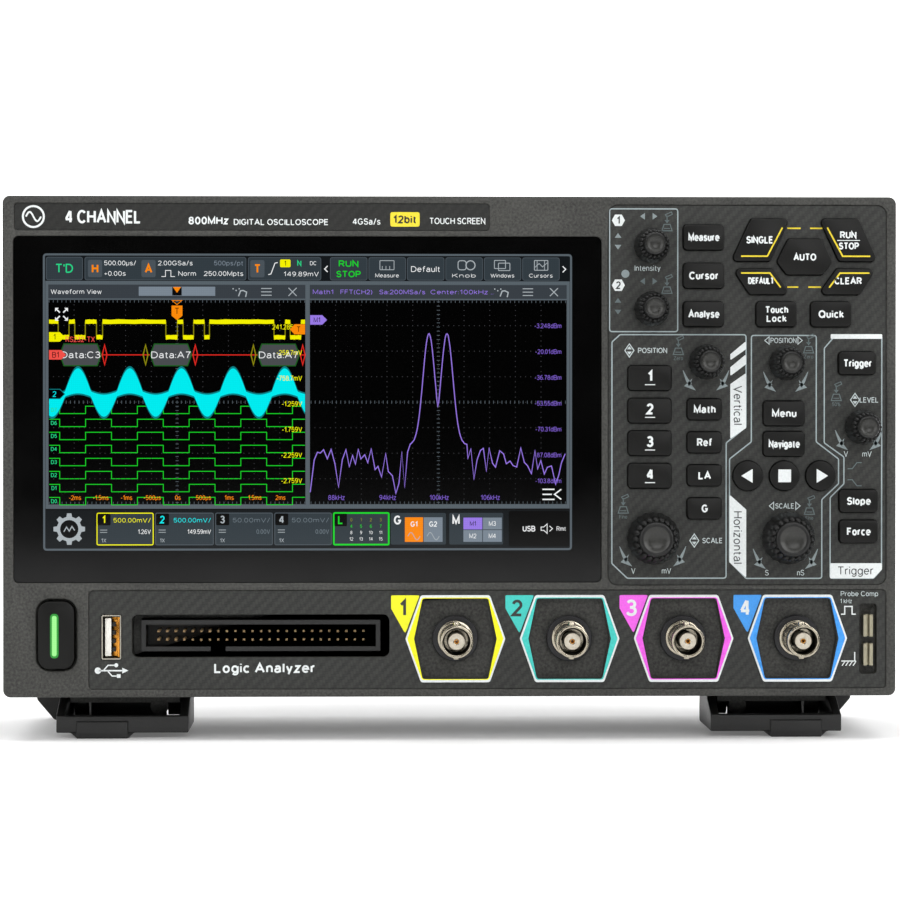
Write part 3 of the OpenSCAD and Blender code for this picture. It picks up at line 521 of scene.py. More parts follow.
def sheet_of(body, material, slot="overlay_film"):
    return layers.setdefault((body, material.name), {"verts": [], "faces": [], "slot": slot,
                                                     "material": material, "body": body})


def area_of(points):
    return sum(a[0] * b[1] - b[0] * a[1] for a, b in zip(points, points[1:] + points[:1])) / 2


def plate(sheet, points, y):
    """A closed plate with its front at y; points are (x, z) in millimetres round a simple shape."""
    if area_of(points) < 0:
        points = points[::-1]
    start, count = len(sheet["verts"]), len(points)
    sheet["verts"] += [(x, y, z) for x, z in points] + [(x, y + LAYER, z) for x, z in points]
    front = [start + i for i in range(count)]
    back = [start + count + i for i in range(count)]
    sheet["faces"] += [front, back[::-1]]
    sheet["faces"] += [[front[i], back[i], back[(i + 1) % count], front[(i + 1) % count]]
                       for i in range(count)]


def rounded_corners(points, radius, closed=True, steps=4):
    """Replaces the corners of a line by arcs of about that radius."""
    result = []
    for i, corner in enumerate(points):
        if not closed and i in (0, len(points) - 1):
            result.append(corner)
            continue
        here = Vector(corner)
        before = Vector(points[i - 1]) - here
        after = Vector(points[(i + 1) % len(points)]) - here
        half = before.angle(after) / 2
        reach = min(radius / math.tan(half), before.length / 2, after.length / 2)
        a, b = here + before.normalized() * reach, here + after.normalized() * reach
        for k in range(steps + 1):
            t = k / steps
            result.append(tuple((1 - t) ** 2 * a + 2 * t * (1 - t) * here + t * t * b))
    return result


def line(sheet, points, width, y, closed=False):
    """A mitred stroke of that width along the points, made of one closed strip."""
    count = len(points)
    left, right = [], []
    for i, point in enumerate(points):
        here = Vector(point)
        before = here - Vector(points[i - 1]) if closed or i else None
        after = Vector(points[(i + 1) % count]) - here if closed or i < count - 1 else None
        before, after = before or after, after or before
        normal_a = Vector((-before.y, before.x)).normalized()
        normal_b = Vector((-after.y, after.x)).normalized()
        middle = (normal_a + normal_b).normalized()
        reach = width / 2 / max(0.35, middle.dot(normal_a))
        left.append(here + middle * reach)
        right.append(here - middle * reach)
    base = len(sheet["verts"])
    for y_now in (y, y + LAYER):
        for a, b in zip(left, right):
            sheet["verts"] += [(a.x, y_now, a.y), (b.x, y_now, b.y)]
    back = 2 * count
    for i in range(count if closed else count - 1):
        j = (i + 1) % count
        a, b, c, d = base + 2 * i, base + 2 * i + 1, base + 2 * j + 1, base + 2 * j
        sheet["faces"] += [[a, b, c, d], [d + back, c + back, b + back, a + back],
                           [a, d, d + back, a + back], [c, b, b + back, c + back]]
    if not closed:
        a, b = base, base + 1
        c, d = base + 2 * count - 1, base + 2 * count - 2
        sheet["faces"] += [[b, a, a + back, b + back], [d, c, c + back, d + back]]


def block(sheet, x0, z0, x1, z1, y, radius=0.0):
    points = [(x0, z0), (x1, z0), (x1, z1), (x0, z1)]
    plate(sheet, rounded_corners(points, radius) if radius else points, y)


def arc(centre, radius, from_deg, to_deg, steps=16):
    return [(centre[0] + radius * math.cos(math.radians(a)),
             centre[1] + radius * math.sin(math.radians(a)))
            for a in [from_deg + (to_deg - from_deg) * i / steps for i in range(steps + 1)]]


def disc(sheet, centre, radius, y, steps=20):
    plate(sheet, arc(centre, radius, 0, 360, steps)[:-1], y)


def bow(cx, cy, rx, ry, start, end, steps=10):
    """Points of an elliptic arc from one angle to another, in degrees."""
    angles = [math.radians(start + (end - start) * k / steps) for k in range(steps + 1)]
    return [(cx + rx * math.cos(a), cy + ry * math.sin(a)) for a in angles]


def lid(cx, rx=0.23, top=0.72, ry=0.26):
    return bow(cx, top - ry, rx, ry, 180, 0, 8)


bowl = bow(0.26, 0.36, 0.26, 0.36, 0, 360, 14)
left_edge, low_left = [(0, 0), (0, 1)], [(0, 0), (0, 0.72)]
# Every sign: its width and its strokes, with capitals one unit tall
signs = {
    "A": (0.78, [[(0, 0), (0.39, 1), (0.78, 0)], [(0.14, 0.34), (0.64, 0.34)]]),
    "B": (0.64, [[(0, 0), (0, 1)] + bow(0.36, 0.76, 0.24, 0.24, 90, -90) + [(0, 0.52)],
                 [(0.3, 0.52)] + bow(0.38, 0.26, 0.26, 0.26, 90, -90) + [(0, 0)]]),
    "C": (0.72, [bow(0.38, 0.5, 0.38, 0.5, 42, 318, 16)]),
    "D": (0.7, [[(0, 0), (0, 1)] + bow(0.28, 0.5, 0.42, 0.5, 90, -90, 14) + [(0, 0)]]),
    "E": (0.54, [[(0.54, 1), (0, 1), (0, 0), (0.54, 0)], [(0, 0.53), (0.48, 0.53)]]),
    "F": (0.52, [[(0.52, 1), (0, 1), (0, 0)], [(0, 0.52), (0.44, 0.52)]]),
    "G": (0.76, [bow(0.38, 0.5, 0.38, 0.5, 42, 335, 16) + [(0.74, 0.44), (0.44, 0.44)]]),
    "H": (0.66, [left_edge, [(0.66, 0), (0.66, 1)], [(0, 0.52), (0.66, 0.52)]]),
    "I": (0.0, [left_edge]),
    "K": (0.64, [left_edge, [(0.6, 1), (0, 0.36)], [(0.22, 0.6), (0.64, 0)]]),
    "L": (0.5, [[(0, 1), (0, 0), (0.5, 0)]]),
    "M": (0.78, [[(0, 0), (0, 1), (0.39, 0.1), (0.78, 1), (0.78, 0)]]),
    "N": (0.66, [[(0, 0), (0, 1), (0.66, 0), (0.66, 1)]]),
    "O": (0.8, [bow(0.4, 0.5, 0.4, 0.5, 0, 360, 20)]),
    "P": (0.6, [[(0, 0), (0, 1)] + bow(0.34, 0.73, 0.27, 0.27, 90, -90) + [(0, 0.46)]]),
    "Q": (0.8, [bow(0.4, 0.5, 0.4, 0.5, 0, 360, 20), [(0.5, 0.24), (0.78, -0.02)]]),
    "R": (0.64, [[(0, 0), (0, 1)] + bow(0.36, 0.74, 0.26, 0.26, 90, -90) + [(0, 0.48)],
                 [(0.34, 0.48), (0.64, 0)]]),
    "S": (0.6, [bow(0.3, 0.76, 0.27, 0.24, 20, 250) + bow(0.3, 0.26, 0.3, 0.26, 75, -165)]),
    "T": (0.66, [[(0, 1), (0.66, 1)], [(0.33, 1), (0.33, 0)]]),
    "U": (0.64, [[(0, 1)] + bow(0.32, 0.3, 0.32, 0.3, 180, 360) + [(0.64, 1)]]),
    "V": (0.7, [[(0, 1), (0.35, 0), (0.7, 1)]]),
    "W": (1.04, [[(0, 1), (0.26, 0), (0.52, 0.9), (0.78, 0), (1.04, 1)]]),
    "X": (0.64, [[(0, 0), (0.64, 1)], [(0, 1), (0.64, 0)]]),
    "Y": (0.68, [[(0, 1), (0.34, 0.45), (0.68, 1)], [(0.34, 0.45), (0.34, 0)]]),
    "Z": (0.62, [[(0, 1), (0.6, 1), (0, 0), (0.62, 0)]]),
    "J": (0.46, [[(0.46, 1)] + bow(0.23, 0.25, 0.23, 0.25, 0, -175)]),
    "a": (0.5, [bow(0.25, 0.5, 0.21, 0.22, 160, 0, 8) + [(0.46, 0.1), (0.52, 0)],
                [(0.46, 0.43)] + bow(0.2, 0.2, 0.2, 0.2, 90, 270, 8) + [(0.36, 0.04), (0.46, 0.2)]]),
    "b": (0.52, [left_edge, bowl]),
    "c": (0.46, [bow(0.26, 0.36, 0.26, 0.36, 48, 312, 12)]),
    "d": (0.52, [[(0.52, 0), (0.52, 1)], bowl]),
    "e": (0.52, [[(0.02, 0.38)] + bow(0.26, 0.36, 0.26, 0.36, 3, 318, 14)]),
    "f": (0.34, [[(0.12, 0)] + bow(0.33, 0.79, 0.21, 0.22, 180, 80, 6), [(0, 0.7), (0.32, 0.7)]]),
    "g": (0.52, [bowl, [(0.52, 0.72)] + bow(0.27, -0.04, 0.25, 0.24, 0, -150, 8)]),
    "h": (0.46, [left_edge, lid(0.23) + [(0.46, 0)]]),
    "i": (0.0, [low_left, [(0, 0.9), (0, 1.03)]]),
    "k": (0.44, [left_edge, [(0.4, 0.72), (0, 0.28)], [(0.15, 0.44), (0.44, 0)]]),
    "l": (0.0, [left_edge]),
    "m": (0.8, [low_left, lid(0.2, 0.2) + [(0.4, 0)], lid(0.6, 0.2) + [(0.8, 0)]]),
    "n": (0.46, [low_left, lid(0.23) + [(0.46, 0)]]),
    "o": (0.52, [bowl]),
    "p": (0.52, [[(0, -0.26), (0, 0.72)], bowl]),
    "q": (0.52, [[(0.52, -0.26), (0.52, 0.72)], bowl]),
    "r": (0.26, [low_left, bow(0.25, 0.46, 0.25, 0.26, 180, 85, 5)]),
    "s": (0.44, [bow(0.22, 0.54, 0.19, 0.18, 20, 250, 8) + bow(0.22, 0.18, 0.22, 0.18, 75, -165, 8)]),
    "t": (0.28, [[(0.11, 0.92)] + bow(0.27, 0.16, 0.16, 0.16, 180, 275, 5), [(0, 0.7), (0.27, 0.7)]]),
    "u": (0.46, [[(0, 0.72)] + bow(0.23, 0.25, 0.23, 0.25, 180, 360, 8), [(0.46, 0), (0.46, 0.72)]]),
    "v": (0.46, [[(0, 0.72), (0.23, 0), (0.46, 0.72)]]),
    "w": (0.7, [[(0, 0.72), (0.18, 0), (0.35, 0.66), (0.52, 0), (0.7, 0.72)]]),
    "x": (0.44, [[(0, 0), (0.44, 0.72)], [(0, 0.72), (0.44, 0)]]),
    "y": (0.48, [[(0, 0.72), (0.25, 0)], [(0.48, 0.72), (0.16, -0.26)]]),
    "z": (0.44, [[(0, 0.72), (0.42, 0.72), (0, 0), (0.44, 0)]]),
    "0": (0.54, [bow(0.27, 0.5, 0.27, 0.5, 0, 360, 16)]),
    "1": (0.36, [[(0.02, 0.74), (0.28, 1), (0.28, 0)]]),
    "2": (0.54, [bow(0.27, 0.72, 0.26, 0.28, 165, -30) + [(0, 0), (0.55, 0)]]),
    "3": (0.53, [bow(0.26, 0.76, 0.23, 0.24, 155, -80) + [(0.18, 0.53)],
                 bow(0.26, 0.27, 0.27, 0.27, 85, -160)]),
    "4": (0.6, [[(0.44, 0), (0.44, 1)], [(0.4, 1), (0, 0.3)], [(-0.04, 0.27), (0.6, 0.27)]]),
    "5": (0.53, [[(0.5, 1), (0.09, 1), (0.03, 0.52)] + bow(0.27, 0.32, 0.26, 0.32, 130, -155)]),
    "6": (0.54, [bow(0.27, 0.3, 0.27, 0.3, 0, 360, 14), bow(0.4, 0.4, 0.4, 0.6, 180, 78, 8)]),
    "7": (0.52, [[(0, 1), (0.52, 1), (0.28, 0.5), (0.18, 0)]]),
    "8": (0.54, [bow(0.27, 0.76, 0.22, 0.24, 0, 360, 14), bow(0.27, 0.27, 0.27, 0.27, 0, 360, 14)]),
    "9": (0.54, [bow(0.27, 0.7, 0.27, 0.3, 0, 360, 14), bow(0.14, 0.6, 0.4, 0.6, 0, -102, 8)]),
    ".": (0.0, [[(0, -0.04), (0, 0.07)]]), ":": (0.0, [[(0, 0), (0, 0.12)], [(0, 0.5), (0, 0.62)]]),
    "-": (0.3, [[(0, 0.38), (0.3, 0.38)]]), "'": (0.0, [[(0, 1), (0, 0.74)]]),
    "+": (0.44, [[(0, 0.42), (0.44, 0.42)], [(0.22, 0.2), (0.22, 0.64)]]),
    "/": (0.36, [[(0, -0.06), (0.36, 1.05)]]),
    "(": (0.16, [bow(0.4, 0.42, 0.4, 0.66, 125, 235, 8)]),
    ")": (0.16, [bow(-0.24, 0.42, 0.4, 0.66, 55, -55, 8)]),
    "%": (0.8, [bow(0.17, 0.78, 0.17, 0.22, 0, 360), bow(0.63, 0.22, 0.17, 0.22, 0, 360),
                [(0.62, 1), (0.18, 0)]]),
    "\u00b5": (0.46, [[(0, -0.26), (0, 0.72)], bow(0.23, 0.25, 0.23, 0.25, 180, 360, 8)
                      + [(0.46, 0.72)]])}
PEN, GAP, SPACE = 0.115, 0.12, 0.34  # shares of the capitals' height


def letters(sheet, words, x, z, height, y, width=None, align="CENTER", bold=0.0, turn=0):
    """Writes words with capitals of that height, centred on z, and stretched to width if given."""
    pen = PEN + 2.5 * bold
    strokes, reach = [], 0.0
    for sign in words:
        if sign == " ":
            reach += SPACE
            continue
        wide, lines = signs[sign]
        strokes += [[(reach + u, v) for u, v in points] for points in lines]
        reach += wide + pen + GAP
    low = min(u for points in strokes for u, _ in points)
    high = max(u for points in strokes for u, _ in points)
    tall = height * (1 - pen)
    wide = (width - pen * height) / (high - low) if width else tall
    shift = {"LEFT": low - pen / 2, "CENTER": (low + high) / 2, "RIGHT": high + pen / 2}[align]
    across, up = math.cos(math.radians(turn)), math.sin(math.radians(turn))
    for k, points in enumerate(strokes):
        placed = [((u - shift) * wide, (v - 0.5) * tall) for u, v in points]
        line(sheet, [(x + u * across - v * up, z + u * up + v * across) for u, v in placed],
             pen * height, y - 0.004 * (k % 3))  # strokes that cross never share a plane


def lay_down():
    """Turns every gathered sheet into a piece that rides on its body."""
    for (body, name), sheet in layers.items():
        mesh = bpy.data.meshes.new("print_" + body + "_" + name)
        mesh.from_pydata([[c * MM for c in v] for v in sheet["verts"]], [], sheet["faces"])
        mesh.validate()
        give_material(mesh, sheet["material"])
        piece = bpy.data.objects.new(mesh.name, mesh)
        bpy.context.scene.collection.objects.link(piece)
        place_piece(piece, body, sheet["slot"])
    print("printed pieces:", len(layers), "faces:", sum(len(s["faces"]) for s in layers.values()))


# %% [markdown]
# ## Control film
# The control film is printed in white and pale grey: frames round the vertical, horizontal and
# trigger controls with a named tab each, small symbols beside the knobs, and yellow lines that
# run on over the slanted keys. Places are counted from the film's upper left corner.

# %% Frames and tabs of the control film
FILM_LEFT = RIGHT - 44.4 - 41.4
FILM_TOP = TOP - 59 + 56.4
INK_Y = FILM_Y - LAYER - 0.01
white, pale, thin_grey = (sheet_of("root", inks[k]) for k in ("white", "pale", "line"))
grey_ink, faint_ink, dark_ink = (sheet_of("root", inks[k]) for k in ("grey", "faint", "dark"))
yellow_ink, black_ink = sheet_of("root", inks["yellow"]), sheet_of("root", inks["black"])


def on_film(points):
    return [(FILM_LEFT + u, FILM_TOP - v) for u, v in points]


def film_words(sheet, words, u, v, height, layer=0, **more):
    letters(sheet, words, FILM_LEFT + u, FILM_TOP - v, height, INK_Y - layer * 0.03, **more)


FRAME_LINE = 0.36
frames = {
    "functions": [(0.3, 1.0), (20.6, 1.0), (20.6, 37.5), (0.3, 37.5)],
    "vertical": [(1.0, 40.6), (3.4, 38.4), (41.0, 38.4), (41.0, 65.9), (35.1, 70.6),
                 (35.1, 110.9), (5.6, 110.9), (1.0, 106.5)],
    "horizontal": [(42.6, 38.6), (62.0, 38.6), (62.0, 70.3), (68.7, 75.4), (68.7, 82.8),
                   (63.7, 87.5), (63.7, 111.0), (41.1, 111.0), (36.1, 105.9), (36.1, 75.4),
                   (42.6, 70.3)],
    "trigger": [(64.4, 42.4), (67.7, 38.6), (81.6, 38.6), (81.6, 108.3), (79.2, 111.0),
                (66.2, 111.0), (66.2, 86.9), (70.3, 82.8), (70.3, 74.8), (64.4, 70.6)]}
for points in frames.values():
    line(thin_grey, rounded_corners(on_film(points), 0.8), FRAME_LINE, INK_Y, closed=True)
tabs = [[(36.3, 53.1), (41.0, 49.8), (41.0, 66.2), (36.3, 69.4)],
        [(36.3, 44.2), (41.0, 40.3), (41.0, 42.7), (36.3, 46.0)],
        [(36.3, 48.1), (41.0, 44.2), (41.0, 47.2), (36.3, 50.7)],
        [(36.1, 86.0), (41.1, 90.5), (41.1, 110.8), (36.1, 106.2)],
        [(66.3, 38.2), (81.7, 38.2), (81.7, 39.6), (66.3, 39.6)],
        [(66.2, 106.5), (81.7, 106.5), (81.7, 108.4), (79.2, 111.0), (66.2, 111.0)]]
for points in tabs:
    plate(white, rounded_corners(on_film(points), 0.25, steps=2), INK_Y - 0.03)
film_words(dark_ink, "Vertical", 38.6, 59.4, 2.6, layer=2, width=11.6, turn=-90)
film_words(dark_ink, "Horizontal", 38.6, 98.8, 2.6, layer=2, width=15.6, turn=-90)
film_words(dark_ink, "Trigger", 73.8, 108.7, 2.5, layer=2, width=10.8)
print("film frames:", len(frames), "tabs:", len(tabs))

# %% Small legends and symbols of the control film


def film_line(sheet, points, width=0.3, closed=False):
    line(sheet, on_film(points), width, INK_Y, closed)


def film_shape(sheet, points, layer=0):
    plate(sheet, on_film(points), INK_Y - layer * 0.03)


def diamond(u, v, wide=2.7, tall=3.9):
    """Two arrow heads on a stalk: turn up, turn down."""
    film_line(pale, [(u - wide / 2, v), (u, v - tall / 2), (u + wide / 2, v), (u, v + tall / 2)],
              0.28, closed=True)
    film_shape(pale, [(u - 0.7, v - 0.35), (u, v - 1.25), (u + 0.7, v - 0.35)])
    film_shape(pale, [(u - 0.7, v + 0.35), (u, v + 1.25), (u + 0.7, v + 0.35)])


def curved_arrow(u, v, mirrored=1):
    """A curved, tapering blade that ends in a head pointing down and inward."""
    blade = [(0.6, -4.2), (0.15, -2.6), (-0.45, -0.9), (-1.3, 0.5), (-2.15, -0.3), (-1.2, -1.4),
             (-0.4, -2.7), (0.42, -4.2)]
    head = [(0.2, 0.5), (-2.3, -1.8), (-1.75, -0.3), (-3.3, 1.8)]
    for points in (blade, head):
        film_shape(grey_ink, [(u + mirrored * du, v + dv) for du, dv in points])


def press_icon(u, v, name=""):
    """A finger over a knob: press here."""
    film_line(faint_ink, [(u - 1.5, v + 1.9), (u - 0.9, v), (u + 0.9, v), (u + 1.5, v + 1.9)],
              0.3, closed=True)
    film_line(faint_ink, [(u - 0.9, v + 1.2), (u + 0.9, v + 1.2)], 0.25)
    film_line(faint_ink, [(u, v - 2.6), (u, v - 0.9)], 0.34)
    film_shape(faint_ink, [(u - 0.75, v - 1.3), (u + 0.75, v - 1.3), (u, v - 0.3)])
    film_line(faint_ink, [(u - 0.5, v - 2.9), (u + 1.3, v - 3.7), (u + 1.6, v - 3.0),
                          (u - 0.1, v - 2.2)], 0.26, closed=True)
    if name:
        film_words(faint_ink, name, u, v + 3.0, 1.15)


for number, v in (("1", 4.4), ("2", 23.7)):
    film_shape(white, [(0.95, v), (1.9, v - 1.7), (3.9, v - 1.7), (4.85, v), (3.9, v + 1.7),
                       (1.9, v + 1.7)])
    film_words(dark_ink, number, 2.9, v, 2.3, layer=1, bold=0.02)
for v, sheet in ((3.2, grey_ink), (22.5, faint_ink)):
    film_shape(sheet, [(9.4, v), (10.8, v - 1.0), (10.8, v + 1.0)])
    film_shape(sheet, [(14.5, v), (13.1, v - 1.0), (13.1, v + 1.0)])
for v, sheet in ((8.9, grey_ink), (28.2, faint_ink)):
    film_shape(sheet, [(2.8, v - 0.7), (3.8, v + 0.7), (1.8, v + 0.7)])
    film_shape(sheet, [(2.8, v + 4.2), (3.8, v + 2.8), (1.8, v + 2.8)])
film_words(pale, "Intensity", 11.6, 18.6, 1.7, width=7.7)
disc(grey_ink, on_film([(5.0, 20.3)])[0], 1.2, INK_Y)
for u, v, name in ((17.4, 5.6, ""), (17.4, 24.2, ""), (20.8, 42.4, "Zero"), (4.4, 89.6, "Fine"),
                   (59.7, 41.9, "Zero"), (60.0, 90.0, "Fine"), (68.0, 56.1, "50%")):
    press_icon(u, v, name)
for words, u, v, width in (("POSITION", 13.1, 43.1, 8.7), ("SCALE", 31.0, 99.7, 6.0),
                           ("POSITION", 52.2, 40.1, 7.8), ("SCALE", 52.6, 89.4, 5.6),
                           ("LEVEL", 77.8, 57.8, 5.6)):
    film_words(pale, words, u, v, 1.6, width=width, bold=0.01)
for u, v, reach in ((52.2, 40.1, 5.6), (52.6, 89.4, 4.6)):
    for sign in (-1, 1):
        film_line(pale, [(u + sign * reach, v), (u + sign * (reach - 1.3), v - 1.1),
                         (u + sign * (reach - 1.3), v + 1.1)], 0.24, closed=True)
for u, v in ((6.2, 43.1), (25.6, 99.7), (73.6, 57.8)):
    diamond(u, v)
for words, u, v in (("V", 7.4, 108.7), ("mV", 17.3, 108.7), ("S", 47.3, 109.3), ("nS", 57.4, 109.3),
                    ("V", 70.9, 73.9), ("mV", 77.2, 73.9)):
    film_words(pale, words, u, v, 1.7)
for left, right_side, v in ((22.7, 35.4, 53.2), (3.8, 22.6, 105.6), (46.7, 59.0, 53.6),
                            (43.7, 62.0, 106.4), (68.2, 81.2, 71.0)):
    curved_arrow(left, v, -1)
    curved_arrow(right_side, v, 1)
for v, rising_edge in ((77.4, True), (82.5, False)):
    low_v, high_v = (v + 0.9, v - 0.9) if rising_edge else (v - 0.9, v + 0.9)
    film_line(faint_ink, [(71.4, low_v), (72.8, low_v), (74.2, high_v), (75.6, high_v)], 0.3)
print("legends done, white faces:", len(white["faces"]))

# %% [markdown]
# ## Name strip and connector film
# The name strip holds a generic wave emblem and a plain description of the instrument. The
# connector film names the probe header and numbers the four inputs, each number on a tag in its
# channel's colour that grows out of the input's frame.

# %% Name strip
STRIP_Z = TOP - 6.2
STRIP_Y = INK_Y
strip_base = sheet_of("root", twill_strip)
block(strip_base, LEFT + 3.7, STRIP_Z - 3.8, LEFT + 143.9, STRIP_Z + 3.8, FILM_Y - 0.014, 0.9)
line(white, arc((LEFT + 9.1, STRIP_Z), 3.1, 0, 360, 28)[:-1], 0.6, STRIP_Y, closed=True)
line(white, [(LEFT + 6.9 + 0.37 * i, STRIP_Z + 1.4 * math.sin(i * math.pi / 6))
             for i in range(13)], 0.5, STRIP_Y)
letters(white, "4 CHANNEL", LEFT + 29.6, STRIP_Z, 4.0, STRIP_Y, width=22.6, bold=0.02)
letters(white, "800MHz", LEFT + 60.8, STRIP_Z - 1.1, 2.3, STRIP_Y, width=11.8, bold=0.03)
letters(white, "DIGITAL OSCILLOSCOPE", LEFT + 82.3, STRIP_Z - 1.5, 1.8, STRIP_Y, width=28.0,
        bold=0.015)
letters(white, "4GSa/s", LEFT + 107.6, STRIP_Z - 1.3, 1.9, STRIP_Y, width=8.3, bold=0.01)
letters(white, "TOUCH SCREEN", LEFT + 134.6, STRIP_Z - 1.1, 1.9, STRIP_Y, width=16.6, bold=0.01)
badge = sheet_of("root", inks["badge"])
block(badge, LEFT + 114.7, STRIP_Z - 2.8, LEFT + 123.4, STRIP_Z + 1.5, STRIP_Y, 0.7)
letters(black_ink, "12bit", LEFT + 119.0, STRIP_Z - 0.65, 2.4, STRIP_Y - 0.03, width=6.9,
        bold=0.03)
print("name strip at z", round(STRIP_Z, 1))

# %% Connector film
INPUT_Z = BOTTOM + 17.2
INPUT_X = [RIGHT - 29.4 - 34 * i for i in (3, 2, 1, 0)]
for number, x in enumerate(INPUT_X, 1):
    tag = sheet_of("root", inks["channel_%d" % number])
    points = [(x - 19.1, INPUT_Z + 12.9), (x - 10.6, INPUT_Z + 12.9), (x - 14.9, INPUT_Z + 1.5),
              (x - 19.1, INPUT_Z + 9.0)]
    plate(tag, rounded_corners(points, 0.35, steps=2), STRIP_Y)
    letters(dark_ink if number < 3 else white, str(number), x - 15.6, INPUT_Z + 9.1, 5.0,
            STRIP_Y - 0.03, width=1.9 if number == 1 else 3.3, bold=0.022)
letters(white, "Logic Analyzer", LEFT + 77.4, BOTTOM + 8.6, 3.0, STRIP_Y, width=30.0, bold=0.03)
letters(pale, "Probe Comp", RIGHT - 10.8, BOTTOM + 30.4, 1.5, STRIP_Y, width=11.2)
letters(pale, "1 kHz", RIGHT - 14.8, BOTTOM + 28.2, 1.3, STRIP_Y)
square_wave = [(0, 0), (1.1, 0), (1.1, 2.3), (3.3, 2.3), (3.3, 0), (4.4, 0)]
line(white, [(RIGHT - 16.3 + u, BOTTOM + 24.3 + v) for u, v in square_wave], 0.36, STRIP_Y)
line(white, [(RIGHT - 12.2, BOTTOM + 13.0), (RIGHT - 12.2, BOTTOM + 10.4)], 0.34, STRIP_Y)
line(white, [(RIGHT - 16.2, BOTTOM + 10.3), (RIGHT - 11.8, BOTTOM + 10.3)], 0.34, STRIP_Y)
for i in range(4):
    x = RIGHT - 16.0 + 1.1 * i
    line(white, [(x + 0.9, BOTTOM + 10.2), (x, BOTTOM + 8.9)], 0.28, STRIP_Y)

# The forked symbol of a data bus, below its socket
USB_X, USB_Z = LEFT + 32, BOTTOM + 17.8
symbol_z = BOTTOM + 7.9
line(white, [(USB_X - 3.8, symbol_z), (USB_X + 3.4, symbol_z)], 0.42, STRIP_Y)
disc(white, (USB_X - 4.0, symbol_z), 0.95, STRIP_Y)
plate(white, [(USB_X + 3.2, symbol_z - 0.85), (USB_X + 5.0, symbol_z),
              (USB_X + 3.2, symbol_z + 0.85)], STRIP_Y)
line(white, [(USB_X - 2.4, symbol_z), (USB_X - 1.0, symbol_z + 1.6), (USB_X + 1.0, symbol_z + 1.6)],
     0.36, STRIP_Y)
line(white, [(USB_X - 1.2, symbol_z), (USB_X + 0.2, symbol_z - 1.6), (USB_X + 1.8, symbol_z - 1.6)],
     0.36, STRIP_Y)
disc(white, (USB_X + 1.4, symbol_z + 1.6), 0.6, STRIP_Y)
block(white, USB_X + 1.6, symbol_z - 2.15, USB_X + 2.7, symbol_z - 1.05, STRIP_Y)
print("inputs at x", [round(x, 1) for x in INPUT_X])

# %% [markdown]
# ## Key legends
# The legends sit on the keys and travel with them, so each is drawn on its key's own body, a
# hair in front of the cap. The yellow lines that tie the slanted keys together are on keys and
# film alike.

# %% Legends on the keys


def key_sheet(node, ink_name="white"):
    return sheet_of(node, inks[ink_name], "key_plastic")


def key_face(node):
    """Centre x and z of a key's cap and the place of its front."""
    low, high = box_mm(node)
    return (low[0] + high[0]) / 2, (low[2] + high[2]) / 2, low[1] - LAYER - 0.01


def key_words(node, words, height=1.9, width=None, dx=0.0, dz=0.0, bold=0.034):
    x, z, y = key_face(node)
    letters(key_sheet(node), words, x + dx, z + dz, height, y, width=width, bold=bold)


for node, words, width in (("key_measure", "Measure", 9.3), ("key_cursor", "Cursor", 8.8),
                           ("key_analyse", "Analyse", 9.3), ("key_quick", "Quick", 7.6),
                           ("key_menu", "Menu", 7.3), ("key_navigate", "Navigate", 9.3),
                           ("key_trigger", "Trigger", 8.6), ("key_slope", "Slope", 7.1),
                           ("key_force", "Force", 7.1), ("key_math", "Math", 6.5),
                           ("key_reference", "Ref", 4.6), ("key_logic", "LA", 3.8),
                           ("key_generator", "G", None)):
    key_words(node, words, 2.35, width)
key_words("key_touch_lock", "Touch", 2.1, 6.9, dz=1.3)
key_words("key_touch_lock", "Lock", 2.1, 6.0, dz=-1.3)
key_words("key_auto", "AUTO", 2.15, 6.8, dz=-0.1)
key_words("key_single", "SINGLE", 2.2, 8.0, dx=-0.3)
key_words("key_default", "DEFAULT", 2.0, 7.8, dx=-0.2, dz=0.2)
key_words("key_clear", "CLEAR", 2.1, 8.2, dx=0.1, dz=0.2)
key_words("key_run_stop", "RUN", 2.1, 4.9, dx=-0.2, dz=1.5)
key_words("key_run_stop", "STOP", 2.1, 6.0, dx=0.0, dz=-1.8)
x, z, y = key_face("key_run_stop")
line(key_sheet("key_run_stop"), [(x - 3.5, z - 0.15), (x + 3.3, z - 0.15)], 0.22, y)
for number in range(1, 5):
    node = "key_channel_%d" % number
    key_words(node, str(number), 3.3, dz=0.5)
    x, z, y = key_face(node)
    line(key_sheet(node), [(x - 1.5, z - 2.0), (x + 1.5, z - 2.0)], 0.28, y)
for node, sign in (("key_left", -1), ("key_right", 1)):
    x, z, y = key_face(node)
    plate(key_sheet(node), [(x + sign * 2.1, z), (x - sign * 1.3, z - 2.1),
                            (x - sign * 1.3, z + 2.1)], y)
x, z, y = key_face("key_stop")
block(key_sheet("key_stop"), x - 1.9, z - 1.9, x + 1.9, z + 1.9, y)
print("keys with legends:", len([k for k in layers if k[0].startswith("key_")]))

# %% Yellow lines over the slanted keys
KEY_LINE = 0.45
key_y = key_face("key_single")[2]
for node, points in (("key_single", [(39.3, 15.1), (47.1, 15.1), (51.6, 6.6)]),
                     ("key_run_stop", [(65.0, 6.6), (69.6, 15.1), (77.8, 15.1)]),
                     ("key_default", [(39.3, 20.1), (47.9, 20.1), (51.1, 24.4)]),
                     ("key_clear", [(65.6, 24.4), (68.8, 20.1), (77.6, 20.1)])):
    line(key_sheet(node, "yellow"), on_film(points), KEY_LINE, key_y)
for v, spans in ((6.7, ((53.3, 57.3), (60.1, 63.8))), (24.2, ((53.3, 56.6), (59.6, 63.4)))):
    for start, end in spans:
        line(yellow_ink, on_film([(start, v), (end, v)]), KEY_LINE, INK_Y)

